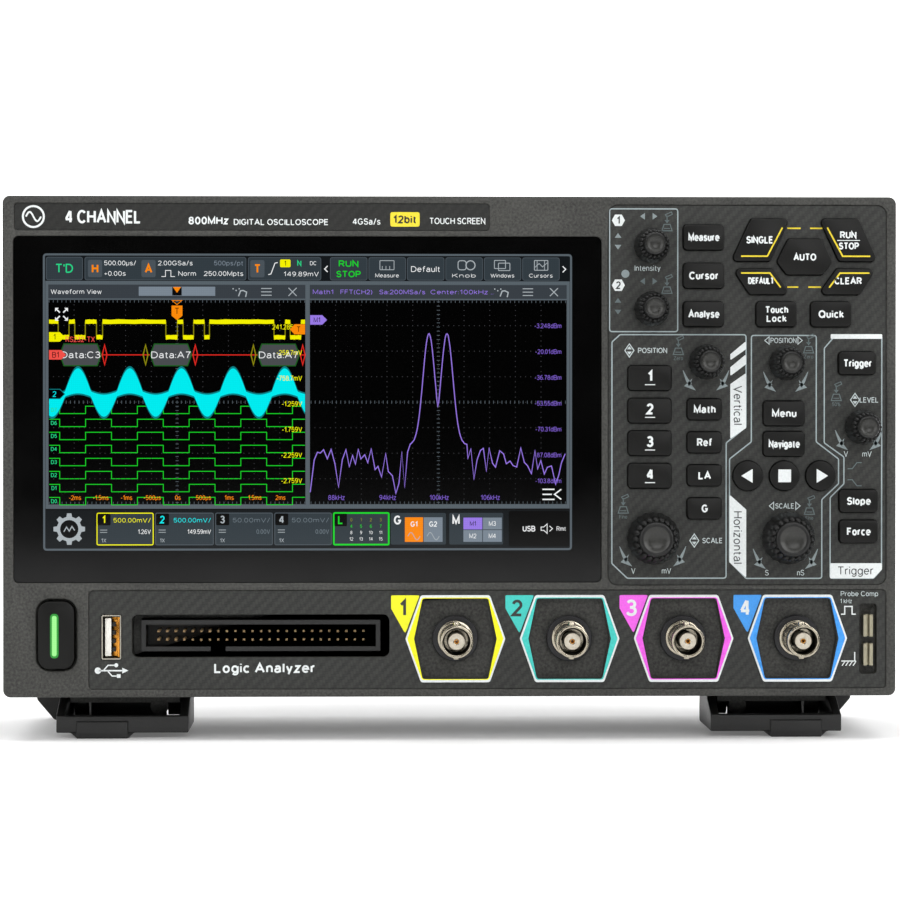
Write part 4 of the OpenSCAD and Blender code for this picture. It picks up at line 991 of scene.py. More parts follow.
# %% [markdown]
# ## The display
# The instrument is running: a digital signal, a decoded bus, a modulated sine and logic rows on
# the left, a spectrum on the right, with bars of buttons above and settings below. Everything
# is laid out from the lit area's upper left corner and drawn as thin lit layers on the glass.

# %% Display layout
VIEW_W, VIEW_H = 156.8, 88.0
glass_low, glass_high = box_mm("touch_glass")
VIEW_LEFT = (glass_low[0] + glass_high[0]) / 2 - VIEW_W / 2
VIEW_TOP = (glass_low[2] + glass_high[2]) / 2 + 2.2 + VIEW_H / 2
SCREEN_Y = GLASS_Y - 0.03
STEP = 0.024  # mm from one lit layer to the next


def screen(name):
    return sheet_of("root", lights[name], "screen_glass")


def spot(u, v):
    return VIEW_LEFT + u, VIEW_TOP - v


def tile(name, u0, v0, u1, v1, layer=1, radius=0.0):
    (x0, z1), (x1, z0) = spot(u0, v0), spot(u1, v1)
    block(screen(name), x0, z0, x1, z1, SCREEN_Y - layer * STEP, radius)


def shape(name, points, layer=2):
    plate(screen(name), [spot(u, v) for u, v in points], SCREEN_Y - layer * STEP)


def trace(name, points, width=0.3, layer=3, closed=False):
    line(screen(name), [spot(u, v) for u, v in points], width, SCREEN_Y - layer * STEP, closed)


def text(name, words, u, v, height=1.5, layer=4, **more):
    letters(screen(name), words, *spot(u, v), height, SCREEN_Y - layer * STEP, **more)


def outline(name, u0, v0, u1, v1, width=0.3, layer=2, radius=0.6):
    trace(name, rounded_corners([(u0, v0), (u1, v0), (u1, v1), (u0, v1)], radius), width, layer,
          closed=True)


tile("back", 0.0, 0.0, VIEW_W, VIEW_H, 0, 0.8)
outline("frame", 0.3, 0.3, VIEW_W - 0.3, VIEW_H - 0.3, 0.6, 1, 0.8)
tile("bar", 0.7, 0.7, VIEW_W - 0.7, 8.0, 1)
tile("frame", 0.7, 8.1, VIEW_W - 0.7, 75.6, 1)
tile("bar", 0.7, 76.0, VIEW_W - 0.7, 87.3, 1)

# Bar of settings and buttons along the top
for u0, u1 in ((1.0, 11.7), (12.4, 60.0), (60.7, 82.2)):
    tile("button", u0, 1.1, u1, 7.8, 2, 0.7)
    outline("dim", u0, 1.1, u1, 7.8, 0.2, 3, 0.7)
text("mint", "T'D", 6.3, 4.4, 2.7, width=5.2, bold=0.01)
for name, u in (("H", 15.4), ("A", 31.2), ("T", 63.4)):
    tile("dim", u - 2.1, 1.9, u + 2.1, 7.0, 3, 0.6)
    text("orange", name, u, 4.45, 2.7, bold=0.03)
text("white", "500.00µs/", 18.1, 2.8, 1.4, align="LEFT", width=9.4)
text("white", "+0.00s", 18.1, 5.9, 1.4, align="LEFT", width=6.3)
text("white", "2.00GSa/s", 34.0, 2.8, 1.4, align="LEFT", width=10.2)
trace("white", [(35.0, 6.8), (36.2, 6.8), (36.2, 5.0), (37.8, 5.0), (37.8, 6.8), (39.0, 6.8)], 0.2)
text("white", "Norm", 42.6, 5.9, 1.4, width=5.2)
text("slate", "500ps/pt", 59.2, 2.8, 1.4, align="RIGHT", width=8.6)
text("white", "250.00Mpts", 59.2, 5.9, 1.4, align="RIGHT", width=11.6)
trace("white", [(66.6, 6.2), (67.4, 6.0), (68.0, 4.4), (68.6, 2.8), (69.4, 2.6)], 0.25)
tile("yellow", 70.1, 1.7, 73.2, 4.0, 3, 0.4)
text("black", "1", 71.6, 2.85, 1.5, layer=5)
text("mint", "N", 75.8, 2.8, 1.7, bold=0.02)
text("white", "DC", 79.9, 2.8, 1.2)
text("white", "149.89mV", 81.6, 6.0, 1.4, align="RIGHT", width=10.4)
trace("white", [(84.2, 3.6), (83.3, 4.5), (84.2, 5.4)], 0.3)
trace("white", [(154.0, 3.6), (154.9, 4.5), (154.0, 5.4)], 0.3)
for i, words in enumerate(("RUN", "Measure", "Default", "Knob", "Windows", "Cursors")):
    u0 = 85.0 + 11.42 * i
    tile("button", u0, 1.1, u0 + 10.9, 7.8, 2, 0.7)
    outline("dim", u0, 1.1, u0 + 10.9, 7.8, 0.2, 3, 0.7)
    if i == 0:
        text("green", "RUN", u0 + 5.4, 2.9, 1.9, width=5.8, bold=0.02)
        text("green", "STOP", u0 + 5.4, 6.0, 1.9, width=7.2, bold=0.02)
    elif words == "Default":
        text("white", words, u0 + 5.4, 4.5, 1.7, width=8.6)
    else:
        text("white", words, u0 + 5.4, 6.4, 1.15, width=7.0)
outline("soft", 99.7, 2.0, 103.9, 4.7, 0.2, 3, 0.2)
for k in range(3):
    trace("soft", [(100.4 + 1.1 * k, 4.6), (100.4 + 1.1 * k, 3.6)], 0.18)
outline("soft", 122.9, 2.0, 125.3, 4.7, 0.25, 3, 0.8)
trace("soft", arc((126.6, 3.35), 1.35, 0, 360, 16)[:-1], 0.3, closed=True)
outline("soft", 133.7, 1.9, 137.0, 4.3, 0.22, 3, 0.2)
outline("soft", 134.9, 2.7, 138.3, 4.9, 0.22, 4, 0.2)
outline("soft", 145.6, 1.9, 149.6, 4.8, 0.22, 3, 0.2)
trace("soft", [(146.4, 4.8), (146.4, 1.9)], 0.18)
trace("soft", [(148.6, 4.8), (148.6, 1.9)], 0.18)
trace("soft", [(145.8, 3.9), (147.0, 2.8), (148.0, 3.8), (149.4, 2.6)], 0.2)
print("display from", [round(c, 1) for c in spot(0, 0)])

# %% Plot windows
PLOTS = {"wave": (1.6, 13.7, 77.6, 74.3), "spectrum": (78.9, 13.7, 155.2, 74.3)}
for name, (u0, v0, u1, v1) in PLOTS.items():
    tile("title", u0, 9.2, u1, 13.3, 2)
    tile("black", u0, v0, u1, v1, 2)
    right = u1 - 3.8
    trace("soft", [(right - 1.2, 10.1), (right + 1.2, 12.5)], 0.25)
    trace("soft", [(right - 1.2, 12.5), (right + 1.2, 10.1)], 0.25)
    for k in range(3):
        trace("soft", [(right - 9.3, 10.3 + k), (right - 6.2, 10.3 + k)], 0.25)
    trace("soft", [(right - 16.0, 12.6), (right - 15.4, 11.0), (right - 14.6, 10.9),
                   (right - 13.6, 11.4), (right - 13.9, 12.8)], 0.35)
    for k in range(3):
        disc(screen("soft"), spot(right - 17.6 + 0.9 * k, 10.4 + 0.5 * (k % 2)), 0.22,
             SCREEN_Y - 3 * STEP, 8)
text("white", "Waveform View", 2.3, 11.3, 1.35, align="LEFT", width=15.0)
text("purple", "Math1", 79.8, 11.3, 1.35, align="LEFT", width=6.0)
text("purple", "FFT(CH2)", 88.0, 11.3, 1.35, align="LEFT", width=9.4)
text("purple", "Sa:200MSa/s", 99.5, 11.3, 1.35, align="LEFT", width=13.6)
text("purple", "Center:100kHz ..", 114.7, 11.3, 1.35, align="LEFT", width=18.6)
tile("slate", 28.3, 9.8, 50.9, 12.5, 3)
shape("orange", [(38.4, 9.9), (40.8, 9.9), (39.6, 11.6)], 5)
tile("back", 38.2, 9.9, 41.0, 12.4, 4)


def dotted_grid(name, window, columns, rows, dots, dot_mm, material):
    """Dots along the lines of a plot: two grids of points, each with a small plate on it."""
    tree = bpy.data.node_groups.new(name, "GeometryNodeTree")
    face = tree.interface
    for label, kind, value in (("Width", "NodeSocketFloat", (window[2] - window[0]) * MM),
                               ("Height", "NodeSocketFloat", (window[3] - window[1]) * MM),
                               ("Columns", "NodeSocketInt", columns),
                               ("Rows", "NodeSocketInt", rows),
                               ("Dots per cell", "NodeSocketInt", dots),
                               ("Dot", "NodeSocketFloat", dot_mm * MM)):
        face.new_socket(label, in_out="INPUT", socket_type=kind).default_value = value
    face.new_socket("Material", in_out="INPUT", socket_type="NodeSocketMaterial")
    face.new_socket("Geometry", in_out="OUTPUT", socket_type="NodeSocketGeometry")
    given = add(tree, "NodeGroupInput").outputs
    fine = {}
    for label in ("Columns", "Rows"):
        many = add(tree, "ShaderNodeMath", {0: given[label], 1: given["Dots per cell"], 2: 1.0},
                   operation="MULTIPLY_ADD").outputs[0]
        few = add(tree, "ShaderNodeMath", {0: given[label], 1: 1.0}).outputs[0]
        fine[label] = (many, few)
    plate_node = add(tree, "GeometryNodeMeshCube")
    size = add(tree, "ShaderNodeCombineXYZ", {0: given["Dot"], 1: given["Dot"], 2: LAYER * MM})
    tree.links.new(size.outputs[0], plate_node.inputs["Size"])
    joined = add(tree, "GeometryNodeJoinGeometry")
    for across, along in ((fine["Columns"][1], fine["Rows"][0]),
                          (fine["Columns"][0], fine["Rows"][1])):
        points = add(tree, "GeometryNodeMeshGrid",
                     {"Size X": given["Width"], "Size Y": given["Height"],
                      "Vertices X": across, "Vertices Y": along})
        spots = add(tree, "GeometryNodeInstanceOnPoints", {"Points": points.outputs["Mesh"],
                                                           "Instance": plate_node.outputs["Mesh"]})
        tree.links.new(spots.outputs[0], joined.inputs[0])
    turned = add(tree, "GeometryNodeTransform", {"Geometry": joined.outputs[0],
                                                 "Rotation": (math.pi / 2, 0, 0)})
    real = add(tree, "GeometryNodeRealizeInstances", {0: turned.outputs[0]})
    dyed = add(tree, "GeometryNodeSetMaterial", {"Geometry": real.outputs[0],
                                                 "Material": given["Material"]})
    tree.links.new(dyed.outputs[0], add(tree, "NodeGroupOutput").inputs[0])
    piece = grown(name, tree, {"Material": material})
    x, z = spot((window[0] + window[2]) / 2, (window[1] + window[3]) / 2)
    piece.data.transform(Matrix.Translation(Vector((x, SCREEN_Y - 3 * STEP, z)) * MM))
    return place_piece(piece, "root", "screen_glass")


def grown(name, tree, values):
    """An object whose mesh is what the Geometry Nodes tree makes with these input values."""
    piece = bpy.data.objects.new(name, bpy.data.meshes.new(name))
    bpy.context.scene.collection.objects.link(piece)
    modifier = piece.modifiers.new("grow", "NODES")
    modifier.node_group = tree
    sockets = {s.name: s.identifier for s in tree.interface.items_tree if s.in_out == "INPUT"}
    for label, value in values.items():
        modifier[sockets[label]] = value
    baked(piece)
    return piece


for name, window in PLOTS.items():
    dotted_grid("grid_dots_" + name, window, 10, 8, 5, 0.2, lights["grid"])
    middle_u, middle_v = (window[0] + window[2]) / 2, (window[1] + window[3]) / 2
    for k in range(-24, 25):
        v = middle_v + k * 1.24
        trace("frame", [(middle_u - 0.45, v), (middle_u + 0.45, v)], 0.16)
    for k in range(-30, 31):
        u = middle_u + k * 1.26
        trace("frame", [(u, middle_v - 0.45), (u, middle_v + 0.45)], 0.16)
        trace("frame", [(u, window[3] - 0.8), (u, window[3] - 0.1)], 0.16)
        trace("frame", [(u, window[1] + 0.1), (u, window[1] + 0.8)], 0.16)
print("plots:", list(PLOTS))

# %% Left plot: digital signal, bus, sine and logic rows
HIGH_V, LOW_V, WAVE_END = 20.2, 24.8, 77.5
edges = [1.8, 4.5, 7.7, 9.4, 12.5, 15.8, 17.6, 36.3, 39.7, 41.4, 44.5, 47.7, 49.2, 68.3, 71.6, 73.1,
         76.3, WAVE_END]
random.seed(5)
for i, (start, end) in enumerate(zip(edges, edges[1:])):
    v = HIGH_V if i % 2 == 0 else LOW_V
    top = [(start + (end - start) * k / 8, v - 0.66 + random.uniform(-0.1, 0.1)) for k in range(9)]
    low = [(u, v + 0.6 + random.uniform(-0.08, 0.08)) for u, _ in reversed(top)]
    shape("yellow", top + low, 4)
    if i:
        trace("olive", [(start, HIGH_V), (start, LOW_V)], 0.28, 3)
BUS_V = 30.0
trace("red", [(6.0, BUS_V), (WAVE_END, BUS_V)], 0.3)
for start, end, words in ((5.0, 17.2, "Data:C3"), (31.7, 43.9, "Data:A7"), (63.5, 75.8, "Data:A7")):
    hexagon = [(start, BUS_V), (start + 1.2, BUS_V - 3.2), (end - 1.2, BUS_V - 3.2), (end, BUS_V),
               (end - 1.2, BUS_V + 3.2), (start + 1.2, BUS_V + 3.2)]
    shape("box", hexagon, 4)
    trace("moss", hexagon, 0.35, 5, closed=True)
    text("white", words, (start + end) / 2, BUS_V, 2.0, layer=6, width=11.6)
for u, name in ((18.2, "red"), (45.0, "red"), (76.8, "red"), (30.3, "olive"), (62.2, "olive")):
    trace(name, [(u - 0.7, BUS_V), (u, BUS_V - 2.9), (u + 0.7, BUS_V), (u, BUS_V + 2.9)], 0.35, 4,
          closed=True)
SINE_V, SINE_PERIOD, SINE_PEAK = 41.6, 15.28, 10.34


def sine_band(rise, spare):
    """The filled band between the zero line and a sine, a little wider by spare."""
    top, low = [], []
    for k in range(231):
        u = 1.8 + (WAVE_END - 1.8) * k / 230
        s = math.cos(2 * math.pi * (u - SINE_PEAK) / SINE_PERIOD)
        up, down = max(0.0, s), max(0.0, -s)
        top.append((u, SINE_V - 0.7 - spare - rise * up + 0.9 * down))
        low.append((u, SINE_V + 0.7 + spare + (rise - 0.9) * down - 0.9 * up))
    return top, low


for name, rise, spare, layer in (("teal", 7.1, 0.45, 3), ("cyan", 6.9, 0.0, 4)):
    top, low = sine_band(rise, spare)
    for k in range(0, 230, 10):
        shape(name, top[k:k + 11] + low[k:k + 11][::-1], layer)
HALF_BEAT = 7.65
for row in range(8):
    v = 47.2 + 3.86 * row - 0.9
    points, high = [(1.8, v - 1.1), (4.9, v - 1.1)], False
    for k in range(10):
        start, end = 4.9 + HALF_BEAT * k, min(4.9 + HALF_BEAT * (k + 1), WAVE_END)
        level = v - 1.1 if high else v + 1.1
        points += [(start, level), (end, level)]
        high = not high
    trace("green", points, 0.22, 3)
    text("mint", "D%d" % (7 - row), 3.2, v, 1.2, layer=5, bold=0.01)
for words, v in (("241.285mV", 21.7), ("-258.7mV", 29.3), ("-758.7mV", 36.9), ("-1.259V", 44.5),
                 ("-1.759V", 52.1), ("-2.259V", 59.7), ("-2.759V", 67.3)):
    text("yellow", words, 76.6, v, 1.5, layer=7, align="RIGHT")
for k, words in enumerate(("-2ms", "-1.5ms", "-1ms", "-500µs", "0s", "500µs", "1ms", "1.5ms",
                           "2ms")):
    text("orange", words, 9.4 + 7.6 * k, 72.3, 1.4, layer=6)
shape("orange", [(38.0, 15.4), (41.2, 15.4), (41.2, 18.4), (39.6, 19.7), (38.0, 18.4)], 6)
text("black", "T", 39.6, 17.0, 1.9, layer=7)
trace("orange", [(38.2, 13.9), (41.0, 13.9), (39.6, 15.1)], 0.2, 6, closed=True)
shape("orange", [(73.0, 22.4), (74.4, 20.9), (77.5, 20.9), (77.5, 23.9), (74.4, 23.9)], 8)
text("black", "T", 75.6, 22.4, 1.7, layer=9)
shape("yellow", [(1.8, 23.3), (5.0, 23.3), (6.4, 24.7), (5.0, 26.1), (1.8, 26.1)], 6)
text("black", "1", 3.4, 24.7, 1.7, layer=7)
shape("coral", [(1.8, 28.6), (5.4, 28.6), (6.8, 30.0), (5.4, 31.4), (1.8, 31.4)], 8)
text("black", "B1", 3.7, 30.0, 1.7, layer=9)
shape("black", [(1.8, 40.2), (5.0, 40.2), (6.4, 41.6), (5.0, 43.0), (1.8, 43.0)], 6)
trace("teal", [(1.9, 40.2), (5.0, 40.2), (6.4, 41.6), (5.0, 43.0), (1.9, 43.0)], 0.2, 7)
text("cyan", "2", 3.4, 41.6, 1.7, layer=7)
text("coral", "RS232-TX", 11.0, 25.4, 1.6, layer=5, width=8.6)
for du, dv in ((-1, -1), (1, -1), (-1, 1), (1, 1)):
    trace("white", [(5.5 + du * 0.5, 18.0 + dv * 0.5), (5.5 + du * 1.6, 18.0 + dv * 1.6)], 0.4, 6)
    shape("white", [(5.5 + du * 1.9, 18.0 + dv * 1.9), (5.5 + du * 0.8, 18.0 + dv * 1.9),
                    (5.5 + du * 1.9, 18.0 + dv * 0.8)], 6)
print("left plot drawn")

# %% Right plot: the spectrum
random.seed(23)
spectrum = []
u = 79.0
while u < 155.1:
    peak = min(abs(u - 114.25), abs(u - 119.6))
    floor_v = 61.0 - 3.0 * math.exp(-((u - 117) / 14) ** 2)
    if peak < 6.2:
        skirt = 23.6 + 33.0 * (1 - math.exp(-(peak / 2.5) ** 2))
        level = min(floor_v - 2, skirt) if 108.4 < u < 125.6 else floor_v
        level += random.uniform(-0.15, 0.15)
        spectrum.append((u, level))
        u += 0.28
    else:
        dip = random.random() ** 5 * 11.0
        spectrum.append((u, floor_v + random.uniform(-3.4, 2.6) + dip))
        u += random.uniform(0.75, 1.25)
trace("purple", spectrum, 0.28, 4)
for k, words in enumerate(("-3.248dBm", "-20.01dBm", "-36.78dBm", "-53.55dBm", "-70.31dBm",
                           "-87.08dBm", "-103.8dBm")):
    text("violet", words, 153.6, 21.3 + 7.68 * k, 1.4, layer=5, align="RIGHT")
for words, u in (("88kHz", 86.8), ("94kHz", 102.0), ("100kHz", 117.3), ("106kHz", 132.5)):
    text("violet", words, u, 72.3, 1.5, layer=5)
shape("purple", [(79.0, 18.2), (82.6, 18.2), (84.0, 19.6), (82.6, 21.0), (79.0, 21.0)], 5)
text("black", "M1", 81.0, 19.6, 1.5, layer=6)
for k in range(3):
    trace("white", [(148.0, 69.9 + 1.5 * k), (151.6 - (k % 2) * 0.8, 69.9 + 1.5 * k)], 0.4, 6)
trace("white", [(153.6, 69.9), (151.6, 71.4), (153.6, 72.9)], 0.4, 6)
print("spectrum points:", len(spectrum))

# %% Settings along the bottom
teeth = []
for k in range(8):
    for turn, reach in ((-13, 3.7), (-8, 4.7), (8, 4.7), (13, 3.7)):
        a = math.radians(45 * k + turn)
        teeth.append((7.7 + reach * math.cos(a), 81.6 + reach * math.sin(a)))
shape("soft", teeth, 3)
shape("back", arc((7.7, 81.6), 2.7, 0, 360, 24)[:-1], 4)
trace("soft", [(6.1, 82.4), (6.9, 81.0), (7.7, 82.2), (8.5, 80.8), (9.3, 82.0)], 0.3, 5)
for u0, u1, number, name, scale, offset in (
        (15.9, 32.5, "1", "yellow", "500.00mV/", "1.26V"),
        (33.2, 50.3, "2", "cyan", "500.00mV/", "149.59mV"),
        (51.0, 67.8, "3", "faded", "50.00mV/", "0.00V"),
        (68.5, 85.3, "4", "faded", "50.00mV/", "0.00V")):
    tile("button", u0, 76.9, u1, 86.3, 2, 0.5)
    outline(name if number == "1" else "dim", u0, 76.9, u1, 86.3, 0.3, 3, 0.5)
    tile("black", u0 + 0.1, 77.0, u0 + 4.0, 80.5, 3, 0.4)
    text(name if number < "3" else "soft", number, u0 + 2.0, 78.8, 2.3, bold=0.02)
    trace("soft", [(u0 + 0.9, 81.9), (u0 + 3.0, 81.9)], 0.18)
    trace("soft", [(u0 + 0.9, 82.6), (u0 + 3.0, 82.6)], 0.18)
    shade = name if number < "3" else "faded"
    text(shade, scale, u1 - 0.7, 79.0, 1.35, align="RIGHT", width=11.0)
    text("white" if number < "3" else "faded", offset, u1 - 0.7, 82.4, 1.35, align="RIGHT")
    text("soft", "1X", u0 + 2.0, 85.0, 1.2)
tile("button", 86.0, 76.9, 102.3, 86.3, 2, 0.5)
outline("green", 86.0, 76.9, 102.3, 86.3, 0.5, 3, 0.4)
tile("black", 86.2, 77.1, 89.9, 80.8, 4, 0.3)
text("green", "L", 88.0, 78.9, 2.6, layer=5, bold=0.02)
for k in range(16):
    shade = ("olive", "green", "white", "white")[k // 4]
    text(shade, str(k), 91.2 + 2.9 * (k % 4), 78.9 + 1.9 * (k // 4), 1.0)
tile("button", 102.9, 76.9, 119.3, 86.3, 2, 0.5)
text("white", "G", 104.9, 79.0, 2.7, bold=0.03)
tile("orange", 107.1, 78.2, 112.5, 85.5, 3)
tile("slate", 112.7, 78.2, 118.3, 85.5, 3)
text("white", "G1", 109.8, 80.2, 1.6, bold=0.02)
text("white", "G2", 115.5, 80.2, 1.6, bold=0.02)
for u0 in (108.0, 113.7):
    trace("soft", [(u0 + 0.3 * k, 83.8 - 1.1 * math.sin(k * math.pi / 6)) for k in range(13)], 0.2, 4)
tile("button", 120.3, 76.9, 136.3, 86.3, 2, 0.5)
text("white", "M", 122.3, 79.0, 2.7, bold=0.03)
for k, (words, shade) in enumerate((("M1", "purple"), ("M3", "slate"), ("M2", "slate"),
                                    ("M4", "slate"))):
    u0, v0 = 124.5 + 5.8 * (k % 2), 78.3 + 3.7 * (k // 2)
    tile(shade, u0, v0, u0 + 5.6, v0 + 3.5, 3)
    text("white" if k else "black", words, u0 + 2.8, v0 + 1.75, 1.4)
tile("black", 138.0, 76.3, 156.0, 86.9, 2, 0.7)
text("white", "USB", 144.0, 81.6, 1.7, bold=0.02)
trace("white", [(147.6, 81.1), (148.4, 81.1), (149.4, 80.2), (149.4, 83.0), (148.4, 82.1),
                (147.6, 82.1)], 0.22, 4, closed=True)
trace("white", [(150.1, 80.8), (151.0, 81.6), (150.1, 82.4)], 0.22, 4)
text("white", "Rmt", 153.6, 81.6, 1.35)
print("display sheets:", len([k for k in layers if k[1].startswith("screen_")]))

# %% [markdown]
# ## Knobs and connectors
# The knobs are turned bodies with a wide skirt, ribs for the fingers and a dished, lighter face.
# The ribs are one small body repeated round a circle, with the count, radius and length as
# inputs of the node tree, so the seven knobs share it.

# %% Turned bodies and knobs


def lathe(name, profile, x, z, material, body, slot, steps=56, closed=False, stands_for=()):
    """A body of revolution about a line along Y; profile holds (radius, y) from front to back."""
    shape = bmesh.new()
    rings = []
    for radius, y in profile:
        if radius == 0:
            rings.append([shape.verts.new(Vector((x, y, z)) * MM)] * steps)
            continue
        rings.append([shape.verts.new(Vector((x + radius * math.cos(2 * math.pi * k / steps), y,
                                              z + radius * math.sin(2 * math.pi * k / steps))) * MM)
                      for k in range(steps)])
    pairs = list(zip(rings, rings[1:] + (rings[:1] if closed else [])))
    for near, far in pairs:
        for k in range(steps):
            corners = (near[k], near[(k + 1) % steps], far[(k + 1) % steps], far[k])
            face = list(dict.fromkeys(corners))
            if len(face) > 2:
                shape.faces.new(face)
    bmesh.ops.recalc_face_normals(shape, faces=shape.faces)
    for face in shape.faces:
        face.smooth = True
    mesh = bpy.data.meshes.new(name)
    shape.to_mesh(mesh)
    shape.free()
    mesh.set_sharp_from_angle(angle=math.radians(38))
    give_material(mesh, material)
    piece = bpy.data.objects.new(name, mesh)
    bpy.context.scene.collection.objects.link(piece)
    return place_piece(piece, body, slot, *stands_for)


ribs_tree = bpy.data.node_groups.new("ribs_round_a_cap", "GeometryNodeTree")
for label, kind in (("Count", "Int"), ("Radius", "Float"), ("Rib", "Float"), ("Nose", "Float"),
                    ("Length", "Float"), ("Material", "Material")):
    ribs_tree.interface.new_socket(label, in_out="INPUT", socket_type="NodeSocket" + kind)
ribs_tree.interface.new_socket("Geometry", in_out="OUTPUT", socket_type="NodeSocketGeometry")
given = add(ribs_tree, "NodeGroupInput").outputs
circle = add(ribs_tree, "GeometryNodeMeshCircle", {"Vertices": given["Count"],
                                                   "Radius": given["Radius"]})
bar = add(ribs_tree, "GeometryNodeMeshCone", {"Vertices": 12, "Radius Top": given["Nose"],
                                              "Radius Bottom": given["Rib"],
                                              "Depth": given["Length"]})
nose = add(ribs_tree, "GeometryNodeMeshUVSphere", {"Segments": 12, "Rings": 6,
                                                   "Radius": given["Nose"]})
lift = add(ribs_tree, "ShaderNodeCombineXYZ", {2: given["Length"]})
nose_up = add(ribs_tree, "GeometryNodeTransform", {"Geometry": nose.outputs["Mesh"],
                                                   "Translation": lift.outputs[0]})
rib = add(ribs_tree, "GeometryNodeJoinGeometry", {0: bar.outputs["Mesh"]})
ribs_tree.links.new(nose_up.outputs[0], rib.inputs[0])
round_ribs = add(ribs_tree, "GeometryNodeInstanceOnPoints", {"Points": circle.outputs[0],
                                                             "Instance": rib.outputs[0]})
facing = add(ribs_tree, "GeometryNodeTransform", {"Geometry": round_ribs.outputs[0],
                                                  "Rotation": (math.pi / 2, 0, 0)})
real_ribs = add(ribs_tree, "GeometryNodeRealizeInstances", {0: facing.outputs[0]})
soft = add(ribs_tree, "GeometryNodeSetShadeSmooth", {0: real_ribs.outputs[0]})
dyed = add(ribs_tree, "GeometryNodeSetMaterial", {"Geometry": soft.outputs[0],
                                                  "Material": given["Material"]})
ribs_tree.links.new(dyed.outputs[0], add(ribs_tree, "NodeGroupOutput").inputs[0])

RIBS = 20
CAP_SHARE = 0.78  # cap radius over skirt radius
BUSHING_ROOM, SKIRT_RIB = 3.1, 0.6
for node in sorted(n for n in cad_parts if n.startswith("knob_")):
    low, high = box_mm(node)
    x, z, full = (low[0] + high[0]) / 2, (low[2] + high[2]) / 2, (high[0] - low[0]) / 2
    front, back = low[1], high[1]
    cap = full * CAP_SHARE
    lathe(node + "_turned", [
        (0, front + 1.3), (cap * 0.3, front + 1.2), (cap * 0.52, front + 0.75),
        (cap * 0.64, front + 0.2), (cap * 0.7, front), (cap * 0.76, front + 0.06),
        (cap * 0.83, front + 0.5), (cap * 0.87, front + 1.2), (cap * 0.95, front + 5.5),
        (full * 0.9, back - 4.0), (full * 0.95, back - 2.2), (full * 0.965, back - 0.8),
        (full * 0.93, back), (4.2, back), (4.2, front + 4.0), (0, front + 4.0)],
        x, z, knob_abs, node, "knob_plastic", stands_for=(node,))
    lathe(node + "_face", [
        (0, front + 1.27), (cap * 0.3, front + 1.17), (cap * 0.52, front + 0.72),
        (cap * 0.63, front + 0.21), (cap * 0.66, front + 0.3), (cap * 0.52, front + 0.9),
        (cap * 0.3, front + 1.35), (0, front + 1.45)],
        x, z, cap_face_abs, node, "knob_plastic")
    nose_mm = math.pi * cap / RIBS * 0.62
    centre_mm = cap - nose_mm
    # The long ribs end in front of the encoder's bushing; short ones go on round the skirt
    for part, centre, rib_mm, tip_mm, base, length in (
            ("_ribs", centre_mm, full - centre_mm, nose_mm, back - BUSHING_ROOM,
             back - BUSHING_ROOM - front - nose_mm - 0.7),
            ("_skirt_ribs", full - SKIRT_RIB, SKIRT_RIB, SKIRT_RIB * 0.9, back - 0.4,
             BUSHING_ROOM - 0.4)):
        ribs = grown(node + part, ribs_tree, {
            "Count": RIBS, "Radius": centre * MM, "Rib": rib_mm * MM, "Nose": tip_mm * MM,
            "Length": length * MM, "Material": knob_abs})
        ribs.data.transform(Matrix.Translation(Vector((x, base, z)) * MM))
        place_piece(ribs, node, "knob_plastic")
print("knobs with", RIBS, "ribs each")

# %% [markdown]
# The inputs are nickel barrels with a white insulator and a gilt contact deep inside; the wide
# header shows two rows of gilt pins; the USB socket a pale tongue with its four contacts.

# %% Connectors
rounded_copy("bnc_connectors", "input_barrels", nickel, 0.14, "root", "nickel")
BARREL_MOUTH, INSULATOR_R, CONTACT_R = PANEL_Y - 13.5, 2.4, 0.72
for i, x in enumerate(INPUT_X, 1):
    mouth = BARREL_MOUTH
    lathe("insulator_%d" % i, [
        (CONTACT_R + 0.15, mouth + 1.1), (CONTACT_R + 0.3, mouth + 0.86),
        (INSULATOR_R - 0.1, mouth + 0.86), (INSULATOR_R + 0.03, mouth + 1.0),
        (INSULATOR_R + 0.03, mouth + 7.5), (CONTACT_R + 0.15, mouth + 7.5)],
        x, INPUT_Z, insulator, "root", None, closed=True)
    lathe("contact_%d" % i, [
        (0.42, mouth + 1.5), (0.5, mouth + 1.35), (0.66, mouth + 1.35), (0.7, mouth + 1.5),
        (0.7, mouth + 7.0), (0.42, mouth + 7.0)],
        x, INPUT_Z, gold, "root", None, steps=24, closed=True)
    # The bore wall takes the darkened nickel, painted shade for the inside of the barrel
    lathe("bore_%d" % i, [
        (3.6, mouth + 1.6), (4.0, mouth + 1.0), (4.03, mouth + 1.0), (4.03, mouth + 8.0),
        (3.6, mouth + 8.0)], x, INPUT_Z, nickel_painted_shade, "root", "nickel", closed=True)
    lathe("flange_%d" % i, [
        (5.35, PANEL_Y + 1.2), (6.6, PANEL_Y + 1.2), (6.8, PANEL_Y + 1.4), (6.8, PANEL_Y + 3.0),
        (5.35, PANEL_Y + 3.0)], x, INPUT_Z, black_zinc, "root", "nickel", closed=True)

